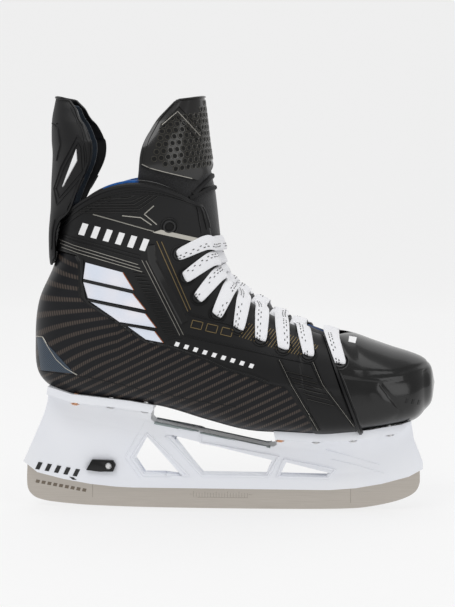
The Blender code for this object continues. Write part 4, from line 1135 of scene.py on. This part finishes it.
make_tongue_body()
BLUE_PATCHES = (((50.5, 151.5), (60.5, 147.5), (58.5, 142.5), (48.5, 146.5)),
                ((66.0, 145.0), (83.0, 138.0), (81.0, 133.0), (64.0, 140.0)))
tongue_front = surface_tree(soft_sheet(TONGUE, 0.2, 9.5, -0.4, 0.1, 1)[0])
finish_piece(patches("tongue_blue_binding", tongue_front, BLUE_PATCHES, TONGUE_BLUE, 0.3, 0.6),
             "boot", "liner")
# share across, and station of the lower edge
SHIELD_FOOTS = ((0, 11.95), (0.22, 11.35), (0.42, 10.95), (1, 12.35))


def shield_grids(near, far, span=0.985, rows=90):
    """The shield as two grids: its lower edge dips on either side of the middle."""
    outer, inner = [], []
    for share in round_shares(80, span):
        foot = np.interp(abs(share), *zip(*SHIELD_FOOTS))
        ts = np.linspace(foot, TOP - 0.15, rows)
        outer.append(wrap(TONGUE, ts, share, far, 1)[:, 0])
        inner.append(wrap(TONGUE, ts, share, near, 1)[:, 0])
    return np.stack(outer, 1), np.stack(inner, 1)


SHIELD_OUT, SHIELD_IN = shield_grids(0.6, 2.2)
shield = mesh_object("tongue_shield_gloss", *between(SHIELD_OUT, SHIELD_IN), SHIELD_GLOSS, sharp=60)
finish_piece(shield, "tongue_top", "shield", "tongue_shield")
SHIELD_TREE = surface_tree(SHIELD_OUT)

# %% [markdown]
# The shield is pierced by round holes in a honeycomb, about 5 mm apart, below a bright chevron. Each hole
# is a dark disc with a moulded ring round it, placed on the sheet by its own directions.

# %% Shield holes and lines
# painted highlight: paler than the shield, standing for the light caught on the ring round each hole, so that
# each ring shows
SHIELD_RIM_HIGHLIGHT = moulded("polycarbonate_rim_painted_highlight", "#34322c", 0.16, 6.0, 0.02, Coat_Weight=0.3)


def on_sheet(stations, t, share, offset, facing):
    """A point of a sheet, its outward normal and the direction up the sheet."""
    near = wrap(stations, [t - 0.05, t, t + 0.05], [share - 0.02, share, share + 0.02], offset, facing)
    up_sheet = near[2, 1] - near[0, 1]
    over = near[1, 2] - near[1, 0]
    normal = np.cross(up_sheet, over)
    normal /= np.linalg.norm(normal)
    out = near[1, 1] - wrap(stations, t, 0, -40, facing)[0, 0]
    return near[1, 1], normal if normal @ out > 0 else -normal, up_sheet


HOLE_PITCH = 5.2
hole_points, hole_ups, hole_alongs = [], [], []
centre = wrap(TONGUE, np.linspace(SHIELD_FOOT, TOP, 200), 0, 2.2, 1)[:, 0]
run = np.concatenate([[0], np.cumsum(np.linalg.norm(np.diff(centre, axis=0), axis=1))])
for row in range(12):
    t = float(np.interp(6.5 + row * HOLE_PITCH * 0.86, run, np.linspace(SHIELD_FOOT, TOP, 200)))
    arc = wrap(TONGUE, t, np.linspace(0, 0.985, 100), 2.2, 1)[0]
    length = np.concatenate([[0], np.cumsum(np.linalg.norm(np.diff(arc, axis=0), axis=1))])
    first = HOLE_PITCH * (0.5 if row % 2 else 0.0)
    for distance in np.arange(first, length[-1] - 7.0, HOLE_PITCH):
        share = float(np.interp(distance, length, np.linspace(0, 0.985, 100)))
        for side in (-1, 1) if distance > 0 else (1,):
            if row > 8 and distance > 26 - 8 * (row - 8) or t < np.interp(share, *zip(*SHIELD_FOOTS)) + 0.3:
                continue
            point, normal, up_sheet = on_sheet(TONGUE, t, side * share, 2.25, 1)
            hole_points.append(point * MM)
            hole_ups.append(normal)
            hole_alongs.append(up_sheet)
print("holes in the shield:", len(hole_points))
# painted shadow: dark discs stand for the shade in the shield's holes
discs = grow("shield_holes", guide(hole_points, [], up=hole_ups, along=hole_alongs), DISCS,
             {"Radius": 1.75 * MM, "Height": 0.3 * MM}, HOLE_PAINTED_SHADOW)
finish_piece(discs, "tongue_top", "shield")
# painted highlight: the rings are paler than the shield they are moulded in
rims = grow("shield_hole_rims", guide(hole_points, [], up=hole_ups, along=hole_alongs), RINGS,
            {"Radius": 1.95 * MM, "Bead": 0.42 * MM}, SHIELD_RIM_HIGHLIGHT)
finish_piece(rims, "tongue_top", "shield")
SHIELD_SILVER = (((-60.4, 259.4), (-42, 250.6), (-21.4, 240.2)),
                 ((-45.4, 288.4), (-33.5, 298.6), (-16.9, 280.6)))
finish_piece(ribs("shield_lines_silver", SHIELD_TREE, SHIELD_SILVER, SILVER_FOIL,
                  1.0, 0.6, 0.4), "tongue_top",
             "rivet_steel")
SHIELD_RIDGES = (((-47.0, 286.0), (-34.5, 295.8), (-18.5, 277.6)),
                 ((-43.5, 291.4), (-32.4, 302.4), (-16.2, 285.0)))
finish_piece(ribs("shield_ridges", SHIELD_TREE, SHIELD_RIDGES, SHIELD_GLOSS, 1.6, 0.8, 0.4),
             "tongue_top", "shield")


def sheet_edge(stations, t_from, t_to, span, offset, facing):
    """A run round a sheet's edge: up one side, over the top and down the other."""
    line, normals = [], []
    for side, ts in ((-1, np.linspace(t_from, t_to, 60)), (1, np.linspace(t_to, t_from, 60))):
        for t in ts:
            point, normal, _ = on_sheet(stations, min(t, len(stations) - 1.06), side * span, offset, facing)
            line.append(point)
            normals.append(normal)
        if side < 0:
            for share in np.linspace(-span, span, 30)[1:-1]:
                point, normal, _ = on_sheet(stations, len(stations) - 1.06, share, offset, facing)
                line.append(point)
                normals.append(normal)
    return line, normals


finish_piece(loop_ribs("shield_edge_bead", [sheet_edge(TONGUE, 12.4, TOP - 0.2, 0.955, 2.2, 1)],
                       SHIELD_GLOSS, 2.2, 0.9, 0.5), "tongue_top", "shield")
FOLD_LINES = (((-22.0, 236.6), (-14.5, 244.0), (-7.5, 251.0)),
              ((-24.6, 234.0), (-14.0, 239.5), (-6.0, 242.0)))
finish_piece(ribs("tongue_fold_webbing", surface_tree(soft_sheet(TONGUE, 9.6, 12, 0, 0.4, 1)[0]), FOLD_LINES,
                  TPU_MATTE, 4.2, 1.2, 0.5), "tongue_top", "tongue_felt")

# %% Tendon guard
GUARD_TOP = len(GUARD) - 1
GUARD_WALL = 3.6
PAD_NEAR, PAD_FAR = -8.2, -3.9  # the pad's faces, in mm from the guard's outer face
GUARD_OUT, GUARD_IN = soft_sheet(GUARD, 0, GUARD_TOP, -GUARD_WALL, 0, -1, rows=120, count=60)
guard = mesh_object("tendon_guard_tpu", *between(GUARD_OUT, GUARD_IN), TPU_MATTE, sharp=60)
finish_piece(guard, "guard", "guard", "tendon_guard")
pad_out, pad_in = soft_sheet(GUARD, 4.0, 9.4, PAD_NEAR, PAD_FAR, -1, rows=60, count=40, span=0.86)
pad = mesh_object("tendon_guard_knit_pad", *between(pad_out, pad_in), PAD_CLOTH, sharp=60)
finish_piece(pad, "guard", "guard_pad", "tendon_guard_pad")
GUARD_TREE = surface_tree(GUARD_OUT)
GUARD_LINES = (
    ((-108.6, 275.5), (-119.6, 255.7), (-125.0, 241), (-122.8, 234.2), (-105.6, 254.5),
     (-106.6, 271.5), (-108.6, 275.5)),
    ((-109.0, 280.5), (-121.5, 257.0), (-126.6, 241), (-124.5, 229.0), (-103.4, 253.0),
     (-104.6, 275.0), (-109.0, 280.5)),
    ((-113.5, 302.0), (-110.0, 295), (-105.5, 283), (-102.6, 268), (-102.8, 255)),
    ((-104.2, 249.0), (-109.0, 240.0), (-116, 228.5), (-120.5, 214.5), (-122.5, 198)),
    ((-128.6, 291.0), (-123.6, 286.0), (-121.8, 274.0), (-124.5, 262.0)),
)
finish_piece(ribs("guard_ribs", GUARD_TREE, GUARD_LINES, TPU_MATTE, 1.5, 0.8, 0.4), "guard", "guard")
SLIVER = (((-109.4, 270.6), (-108.9, 262.0), (-119.4, 243.0), (-119.8, 242.6)),)
finish_piece(patches("guard_white_inlay", GUARD_TREE, SLIVER, WHITE_PRINT,
                     0.9, 1.4, columns=5, rows=14), "guard",
             "holder")
finish_piece(loop_ribs("guard_edge_bead", [sheet_edge(GUARD, 0.6, GUARD_TOP - 0.1, 0.965, 0.0, -1)],
                       TPU_SATIN, 2.4, 0.8, 0.5), "guard", "guard")
print("tongue and guard done")

# %% [markdown]
# ## Eyelets
# Each eyelet is a rolled ring of lacquered aluminium with a dark hole. Its place comes from the CAD node,
# and its direction from the last at that place.

# %% Eyelets
LAST_US, LAST_VS = np.linspace(0, 12, 361), np.linspace(0, 1, 121)
LAST_GRID = {side: skin(BOOT, LAST_US, side * LAST_VS) for side in (-1, 1)}
CAP_US = np.linspace(0, 4, 121)
CAP_GRID = {side: skin(CAP, CAP_US, side * LAST_VS) for side in (-1, 1)}


def place_on_last(point, side, cap=False):
    """Nearest u, v of the last to a point in mm."""
    grid = CAP_GRID[side] if cap else LAST_GRID[side]
    i, j = np.unravel_index(np.linalg.norm(grid - point, axis=-1).argmin(), grid.shape[:2])
    return (CAP_US if cap else LAST_US)[i], side * LAST_VS[j]


def last_point(u, v, offset, cap=False):
    """A point and normal on the last or the cap, pushed out in mm."""
    stations = CAP if cap else BOOT
    sign = 1 if v > 0 else -1
    vs = sign * np.clip([abs(v) - 0.012, abs(v), abs(v) + 0.012], 0, 1)
    near = skin(stations, [max(u - 0.03, 0), u + 0.001, u + 0.03], vs)
    along, over = near[2, 1] - near[0, 1], near[1, 2] - near[1, 0]
    normal = np.cross(along, over)
    normal /= np.linalg.norm(normal)
    centre = skin(stations, [u], np.array([-0.5, 0.5])).mean(axis=(0, 1))
    if normal @ (near[1, 1] - centre) < 0:
        normal = -normal
    return near[1, 1] + normal * offset, normal


EYELETS = {}
for side, name in ((-1, "outer"), (1, "inner")):
    for n in range(1, 11):
        low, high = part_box(f"eyelet_{name}_{n}")
        centre = (np.array(low) + np.array(high)) / 2 / MM
        u, v = place_on_last(centre, side, cap=n == 1)
        EYELETS[n, side] = (u, v, last_point(u, v, CAP_SEAM if n == 1 else FACING_RISE, cap=n == 1))


def make_eyelets():
    points = [place[2][0] * MM for place in EYELETS.values()]
    ups = [place[2][1] for place in EYELETS.values()]
    alongs = [(0, 0, 1)] * len(points)
    nodes = [f"eyelet_{name}_{n}" for name in ("outer", "inner") for n in range(1, 11)]

    def source(rise):
        return guide([p + np.array(u) * rise * MM for p, u in zip(points, ups)], [], up=ups, along=alongs)

    rings = grow("eyelet_rings", source(0.45), RINGS, {"Radius": 4.1 * MM, "Bead": 0.95 * MM}, EYELET_LACQUER)
    finish_piece(rings, "boot", "eyelet", *nodes)
    washers = grow("eyelet_washers", source(0.1), RINGS, {"Radius": 6.3 * MM, "Bead": 0.55 * MM}, TPU_DARK)
    finish_piece(washers, "boot", "moulded")
    # painted shadow: dark discs stand for the shade in the eyelet holes
    holes = grow("eyelet_holes", source(0.0), DISCS, {"Radius": 3.4 * MM, "Height": 0.8 * MM}, HOLE_PAINTED_SHADOW)
    finish_piece(holes, "boot", "eyelet")


make_eyelets()

# %% [markdown]
# ## Lace
# One flat lace runs through eighteen eyelets. At each level a strand leaves the eyelet, swells to its
# full 10.8 mm on the facing, crosses the tongue and dives under the other facing. Each strand is a flat
# oval swept along a smooth curve, with UV coordinates for the weave; the tracer stitches are small dashes
# laid along it.

# %% Lace strands
LACE_HALF = 5.4  # half width at rest
CAP_STRAND_EXTRA = 0.6  # the lowest crossing lies wider by this on each side
LACE_FAT = 0.75  # half thickness
# how far a strand sinks towards the throat, in stations
LACE_DROP = {6: -0.2, 7: -0.45, 8: -0.8, 9: -1.15}


def tongue_point(target, share, lift):
    ts = np.linspace(0.5, TONGUE_FOLD, 200)
    centres = wrap(TONGUE, ts, 0, 0, 1)[:, 0]
    t = ts[np.linalg.norm(centres - target, axis=1).argmin()]
    return wrap(TONGUE, t, share, lift, 1)[0, 0]


def strand(n, side, over):
    """Route points, side-to-side directions and half widths of one strand, in mm."""
    cap = n == 1
    u, v, (hole, out) = EYELETS[n, side]
    up_n = EYELETS[min(n + 1, 9), side][2][0]
    down_n = EYELETS[max(n - 1, 2), side][2][0] if n > 1 else hole
    across = up_n - down_n if n > 1 else EYELETS[2, side][2][0] - hole
    across = across / np.linalg.norm(across)
    u_next = EYELETS[min(n + 1, 9), side][0] if not cap else u
    rise = 3.6 if not cap else 2.6
    climb = (u_next - u) * (0.45 if n == 8 else 0.8) if n < 9 and not cap else -0.1
    drop = LACE_DROP.get(n, 0)
    start, _ = last_point(u + 0.05 * climb + 0.55 * drop, v + (side - v) * 0.55, rise, cap)
    lip, _ = last_point(u + 0.12 * climb + drop, side * 0.995, rise, cap)
    other_u = EYELETS[n, -side][0]
    under, _ = last_point(other_u + 0.6 * climb + drop, -side * 0.975, -4.4 if not cap else 2.6, cap)
    tail, _ = last_point(other_u + 0.7 * climb + drop, -side * 0.90, -5.2 if not cap else 2.0, cap)
    middle = (lip + under) / 2
    lift = 2.6 if over else 1.1
    if cap:
        crown = middle + np.array((0, 0, 2.2))
        points = [hole - out * 2.5, hole + out * 2.6, start + out * 0.8, lip + (0, 0, 1.0), crown]
        half = [2.4, 4.2, 5.3, LACE_HALF + CAP_STRAND_EXTRA, LACE_HALF + CAP_STRAND_EXTRA]
        return points, [across] * len(points), half
    points = [hole - out * 2.5, hole + out * 1.7, start, lip,
              tongue_point(middle * 0.7 + lip * 0.3, side * 0.28, lift), tongue_point(middle, 0, lift),
              tongue_point(middle * 0.7 + under * 0.3, -side * 0.28, 1.2), under, tail]
    half = [2.4, 4.2, 5.3, LACE_HALF, LACE_HALF, LACE_HALF, LACE_HALF, 4.4, 3.6]
    return points, [across] * len(points), half


def band(points, across, half, step=1.4):
    """A flat oval swept along a smooth curve: points, faces and the (u, v) of each point."""
    rows = np.hstack([np.array(points), np.array(across), np.array(half)[:, None]])
    count = int(sum(np.linalg.norm(np.diff(rows[:, :3], axis=0), axis=1)) / step)
    line = spline(rows, np.linspace(0, len(rows) - 1, count))
    centre, width = line[:, :3], line[:, 6]
    along = np.gradient(centre, axis=0)
    along /= np.linalg.norm(along, axis=1, keepdims=True)
    side = line[:, 3:6] - along * (line[:, 3:6] * along).sum(axis=1, keepdims=True)
    side /= np.linalg.norm(side, axis=1, keepdims=True)
    up = np.cross(along, side)
    turns = np.linspace(0, 2 * math.pi, 16, endpoint=False)
    flat = np.sign(np.cos(turns)) * np.abs(np.cos(turns)) ** 0.75
    ring = (centre[:, None] + side[:, None] * (width[:, None] * flat)[..., None]
            + up[:, None] * (LACE_FAT * np.sin(turns))[None, :, None])
    run = np.concatenate([[0], np.cumsum(np.linalg.norm(np.diff(centre, axis=0), axis=1))])
    uv = np.stack(np.broadcast_arrays(run[:, None] * MM, (width[:, None] * flat) * MM), -1)
    n = np.arange(count * 16).reshape(count, 16)
    after = np.roll(n, -1, axis=1)
    faces = np.stack([n[:-1], after[:-1], after[1:], n[1:]], -1).reshape(-1, 4).tolist()
    faces += [n[0][::-1].tolist(), n[-1].tolist()]
    return ring.reshape(-1, 3) * MM, faces, uv.reshape(-1, 2), centre, side, up


def make_lace():
    all_points, all_faces, all_uv, base = [], [], [], 0
    dashes = ([], [], [])
    for n in range(1, 10):
        for side in (-1, 1):
            points, faces, uv, centre, across, up = band(*strand(n, side, over=(side < 0) == (n % 2 == 1)))
            all_points.append(points)
            all_faces += [[i + base for i in f] for f in faces]
            all_uv.append(uv)
            base += len(points)
            facing = EYELETS[n, side][2][1]
            sign = 1 if up[len(up) // 4] @ facing > 0 else -1
            for k in range(4, len(centre) * 2 // 3):
                if (k // 3 + n) % 5 == 0:
                    continue
                for lane in ((0.22,), (0.66,))[k % 2]:
                    dashes[0].append((centre[k] + across[k] * lane * 4.4 * (1 if n % 3 else -1)
                                      + up[k] * sign * (LACE_FAT + 0.02)) * MM)
                    dashes[1].append(up[k] * sign)
                    dashes[2].append(centre[min(k + 1, len(centre) - 1)] - centre[k])
    lace = mesh_object("lace_flat_woven", np.concatenate(all_points), all_faces, LACE_CLOTH, sharp=60,
                       merge=False)
    uv = np.concatenate(all_uv)
    layer = lace.data.uv_layers.new(name="weave")
    corner = np.zeros(len(lace.data.loops), int)
    lace.data.loops.foreach_get("vertex_index", corner)
    layer.data.foreach_set("uv", uv[corner].ravel())
    bm = bmesh.new()
    bm.from_mesh(lace.data)
    bmesh.ops.recalc_face_normals(bm, faces=bm.faces)
    bm.to_mesh(lace.data)
    bm.free()
    finish_piece(lace, "boot", "lace", "lace")
    tracer = grow("lace_tracer_stitches", guide(dashes[0], [], up=dashes[1], along=dashes[2]), BLOCKS,
                  {"Length": 1.5 * MM, "Width": 0.6 * MM, "Height": 0.3 * MM}, BLACK_PRINT_AND_SHADE)
    finish_piece(tracer, "boot", "lace")
    print("lace strands:", 18, "tracer stitches:", len(dashes[0]))


make_lace()

# %% [markdown]
# ## Piping at the toe cap, and a bright square on the cap
# A black piping closes the seam between the strap and the polished toe cap. Piping like this is a sweep
# along the cap's rear edge. A small bright white square is laid on the cap's top.

# %% Cap piping and bright square


def cap_piping():
    runs = []
    for u in (0.0, 0.22):
        line, normals = [], []
        for v in np.linspace(-0.999, 0.999, 160):
            if abs(v) < 0.012:
                continue
            point, normal = last_point(u, v, CAP_SEAM + 0.3, cap=True)
            line.append(point)
            normals.append(normal)
        runs.append((line, normals))
    return runs


PIPE_WIDE, PIPE_FINE = cap_piping()
finish_piece(loop_ribs("cap_rear_piping", [PIPE_WIDE], TPU_DARK, 3.6, 1.8, 0.5), "boot", "moulded")
finish_piece(loop_ribs("cap_rear_bead", [PIPE_FINE], TPU_SATIN, 1.2, 1.0, 0.5), "boot", "moulded")
CAP_TREE = surface_tree(CAP_OUTER)
CAP_BRIGHT_SQUARE = (((94.9, 131.2), (100.6, 130.2), (99.6, 125.9), (94.4, 127.0)),)
finish_piece(patches("cap_bright_square", CAP_TREE, CAP_BRIGHT_SQUARE, WHITE_PRINT, 0.3, 0.6, columns=5, rows=5),
             "boot", "holder")
CAP_BARS = slanted_bars((137.0, 81.0), (146.0, 80.0), 3, 1.6, 3.6, 1.2)
finish_piece(patches("cap_bars", CAP_TREE, CAP_BARS, TPU_DARK, 0.2, 0.4, columns=3, rows=3),
             "boot", "moulded")

# %% [markdown]
# ## Holder
# The holder is one piece of white nylon with rounded edges: two towers, a beam and a rail for the runner.
# The CAD node is merged and its edges are rounded by a bevel. Frames round the openings, a grey rib of
# painted shade on the ledge under the arch and the pressed lines on the toe tower are swept over its sides.

# %% Holder body
# painted shade: the ledge under the arch lies in shade, so its rib is grey rather than the holder's white
LEDGE_PAINTED_SHADE = moulded("nylon_ledge_painted_shade", "#8f9a9a", 0.5, 2.0, 0.05)


def rounded_copy(node, name, width, segments, material, body, slot):
    """A copy of a CAD node with its edges rounded by a bevel."""
    source = bpy.data.objects[node]
    bm = bmesh.new()
    bm.from_mesh(source.data)
    bmesh.ops.remove_doubles(bm, verts=bm.verts, dist=0.01 * MM)
    bmesh.ops.dissolve_limit(bm, angle_limit=math.radians(3), verts=bm.verts, edges=bm.edges)
    mesh = bpy.data.meshes.new(name)
    bm.to_mesh(mesh)
    bm.free()
    obj = bpy.data.objects.new(name, mesh)
    bpy.context.scene.collection.objects.link(obj)
    obj.data.materials.clear()
    obj.data.materials.append(material)
    bevel = obj.modifiers.new("round", "BEVEL")
    bevel.width, bevel.segments, bevel.limit_method = width * MM, segments, "ANGLE"
    bevel.angle_limit = math.radians(38)
    done = bpy.data.meshes.new_from_object(obj.evaluated_get(bpy.context.evaluated_depsgraph_get()))
    obj.modifiers.remove(bevel)
    obj.data = done
    done.name = name
    done.shade_smooth()
    done.set_sharp_from_angle(angle=math.radians(32))
    return finish_piece(obj, body, slot, node)


rounded_copy("holder", "holder_nylon", 0.8, 2, NYLON_WHITE, "boot", "holder")
rounded_copy("footbed", "footbed_felt", 0.8, 2, FOOTBED_CLOTH, "boot", "footbed")


def node_tree_of(node):
    """A search tree in mm over a CAD node."""
    mesh = bpy.data.objects[node].data
    return BVHTree.FromPolygons([v.co / MM for v in mesh.vertices], [list(p.vertices) for p in mesh.polygons])


HOLDER_TREE = node_tree_of("holder")

# %% Holder details
OPENINGS = (
    ((-57.0, 56.6), (-69.0, 37.8), (-60.0, 24.6), (-26.0, 24.6), (-57.0, 56.6)),
    ((-43.0, 54.6), (-15.6, 24.6), (34.2, 24.4), (42.2, 39.6), (-43.0, 54.6)),
    ((46.4, 37.6), (41.0, 24.2), (79.7, 23.6), (85.0, 30.0), (46.4, 37.6)),
)
finish_piece(ribs("holder_opening_frames", HOLDER_TREE, OPENINGS, NYLON_WHITE, 2.6, 0.9, 0.4, sides=(-1, 1)),
             "boot", "holder")
# painted shade: a grey rib along the ledge under the arch
LEDGE = (((-51.6, 64.4), (-30, 60.2), (9.4, 52.2), (36.0, 46.9)),)
finish_piece(ribs("holder_ledge_painted_shade", HOLDER_TREE, LEDGE, LEDGE_PAINTED_SHADE, 2.4, 0.5, 0.6, sides=(-1, 1)),
             "boot", "holder")
PRESSED = (((78.0, 45.0), (96.0, 40.5), (118.0, 34.0)), ((82.0, 38.0), (100.0, 33.8), (122.0, 27.5)),
           ((-58.0, 66.0), (-74.0, 38.0), (-62.0, 21.4)))
finish_piece(ribs("holder_pressed_lines", HOLDER_TREE, PRESSED, NYLON_WHITE,
                  1.2, 0.5, 0.4, sides=(-1, 1)), "boot",
             "holder")
heel_bars = slanted_bars((-142.6, 28.4), (-114.0, 23.4), 5, 3.2, 5.4, 2.6)
finish_piece(patches("holder_bars", HOLDER_TREE, heel_bars, BLACK_PRINT_AND_SHADE, 0.3, 0.6, columns=4, rows=4), "boot",
             "holder")

# %% [markdown]
# ## Runner, lever and screw
# The runner is polished steel with etched marks: two witness lines, a ruler in the middle and a row of
# dashes at the heel. The lever is black nylon with rounded edges and a slotted steel screw.

# %% Runner
RUNNER_LOW = (
    (-148.3, 30), (-148.6, 24), (-148.5, 17.5), (-147.6, 13), (-145.6, 9.9), (-142.6, 7.4), (-138, 5.6),
    (-130, 4),
    (-115, 2.5), (-100, 1.5), (-60, 0.4), (0, 0), (60, 0.2), (95, 1), (110, 2.5), (125, 5.5), (135, 8.5),
    (142, 11.8), (146.2, 15.6), (148.2, 20.5), (148.5, 25), (148.3, 32),
)
RAIL_EDGE = ((-149, 29), (-140, 27), (-120, 22), (-100, 18.5), (-80, 16.5), (-40, 15), (0, 14.5), (50, 15.5),
             (80, 15.6), (100, 17.2), (120, 20.8), (140, 26.4), (150.5, 31))
RUNNER_HALF, RUNNER_TUCK = 1.5, 4.8  # half thickness, and how far it goes into the rail


def make_runner():
    low = spline(RUNNER_LOW, np.linspace(0, len(RUNNER_LOW) - 1, 150))
    x = np.linspace(148.3, -148.3, 60)
    top = np.stack([x, np.interp(x, *zip(*RAIL_EDGE)) + RUNNER_TUCK], 1)
    outline = np.concatenate([low, top])
    count = len(outline)
    points = [(px, y, pz) for y in (-RUNNER_HALF, RUNNER_HALF) for px, pz in outline]
    faces = [list(range(count)), list(range(2 * count - 1, count - 1, -1))]
    faces += [[k, k + count, (k + 1) % count + count, (k + 1) % count] for k in range(count)]
    runner = mesh_object("runner_steel", np.array(points) * MM, faces, STEEL, sharp=25)
    return finish_piece(runner, "blade", "steel", "runner")


make_runner()

# %% Runner marks
# etched steel is darker and browner than the ground face
ETCH_DARK = moulded("etched_mark_brown", "#6f6457", 0.5, 2.0, 0.02)
RUNNER_TREE = node_tree_of("runner")
SEAMS = (((-98.8, 18.2), (-98.8, 7.0)), ((96.7, 16.6), (96.7, 5.0)))
finish_piece(ribs("runner_seams", RUNNER_TREE, SEAMS, ETCH_DARK, 0.5, 0.12, 0.3), "blade", "lever")
TICKS = tuple(((x, 12.6 if k % 4 == 0 else 11.4), (x, 8.2)) for k, x in enumerate(np.arange(-22.0, 21, 2.15)))
TICKS += (((-25.0, 10.3), (-22.6, 10.3)), ((-19.0, 8.0), (19.0, 8.0)), ((19.6, 10.3), (22.4, 10.3)))
finish_piece(ribs("runner_scale", RUNNER_TREE, TICKS, ETCH_DARK, 0.38, 0.1, 0.3), "blade", "lever")
etched = slanted_bars((-142.5, 18.0), (-107.0, 11.6), 9, 2.9, 2.4, 0.8)
finish_piece(patches("runner_dashes", RUNNER_TREE, etched, ETCH_DARK, 0.12, 0.3, columns=3, rows=3),
             "blade", "lever")

# %% Lever, screw and notch
rounded_copy("release_lever", "release_lever_nylon", 0.6, 3, TPU_DARK, "lever", "lever")
LEVER_TREE = node_tree_of("lever_screw")
# painted shade: a black line stands for the shade in the screw's slot
SCREW_SLOT_SHADE = (((-86.2, 34.4), (-83.0, 31.6)),)
finish_piece(ribs("lever_screw_slot_painted_shade", LEVER_TREE, SCREW_SLOT_SHADE, BLACK_PRINT_AND_SHADE, 0.8, 0.2, 0.3, sides=(-1,)),
             "boot", "lever")
HOOK = (((-116.6, 22.6), (-113.4, 22.2), (-111.0, 20.2), (-114.0, 20.4)),)
finish_piece(patches("holder_catch_mark", HOLDER_TREE, HOOK, BLACK_PRINT_AND_SHADE, 0.2, 0.4, columns=3, rows=3),
             "boot", "lever")
print("blade details done")

# %% [markdown]
# ## Floor, light and camera
# A pale seamless floor and wall, three large soft lights and a long lens show the skate as a studio
# would. The camera looks from the outer side, a little from above and ahead.

# %% Floor, lights and camera


def make_studio():
    mat, tree, shader = finish("paper_backdrop", "#808080", 0.9, Emission_Color=linear("#ffffff"),
                               Emission_Strength=0.70)
    where, _ = places(tree)
    bumped(tree, shader, noise(tree, where, 3, 2), 0.02, 0.1)
    turns = [math.radians(a) for a in range(0, 91, 6)]
    back, bend = 1.6, 0.8
    profile = [(-3.0, 0.0)] + [(back + bend * math.sin(a), bend * (1 - math.cos(a))) for a in turns]
    profile.append((back + bend, 3.5))
    points = [(x, y, z) for y, z in profile for x in (-4.0, 4.0)]
    faces = [(2 * k, 2 * k + 1, 2 * k + 3, 2 * k + 2) for k in range(len(profile) - 1)]
    floor = mesh_object("backdrop", points, faces, mat, merge=False)


def soft_light(name, place, target, size, power):
    light = bpy.data.lights.new(name, "AREA")
    light.shape, light.size, light.size_y = "RECTANGLE", size[0], size[1]
    light.energy = power
    obj = bpy.data.objects.new(name, light)
    obj.location = place
    obj.rotation_euler = (Vector(target) - Vector(place)).to_track_quat("-Z", "Y").to_euler()
    bpy.context.scene.collection.objects.link(obj)


def make_lights():
    world = bpy.data.worlds.new("studio")
    world.use_nodes = True
    ground = world.node_tree.nodes["Background"]
    ground.inputs["Color"].default_value = linear("#ffffff")
    ground.inputs["Strength"].default_value = 0.42
    bpy.context.scene.world = world
    target = (0, 0, 0.15)
    soft_light("key", (-0.6, -1.3, 1.7), target, (1.4, 1.0), 13)
    soft_light("fill", (1.4, -1.2, 0.7), target, (0.9, 1.2), 5)
    soft_light("top", (0.1, 0.1, 1.6), target, (1.8, 1.0), 8)


def make_camera():
    lens = SENSOR_WIDTH * EYE_DISTANCE / VIEW_HEIGHT
    camera = bpy.data.cameras.new("camera")
    camera.lens = lens
    camera.clip_start, camera.clip_end = 0.05, 20
    obj = bpy.data.objects.new("camera", camera)
    obj.location = Vector(EYE * MM)
    obj.rotation_euler = (Vector(AIM * MM) - obj.location).to_track_quat("-Z", "Y").to_euler()
    bpy.context.scene.collection.objects.link(obj)
    bpy.context.scene.camera = obj


make_studio()
make_lights()
make_camera()
bpy.context.scene.view_settings.view_transform = "Standard"
print("studio ready")
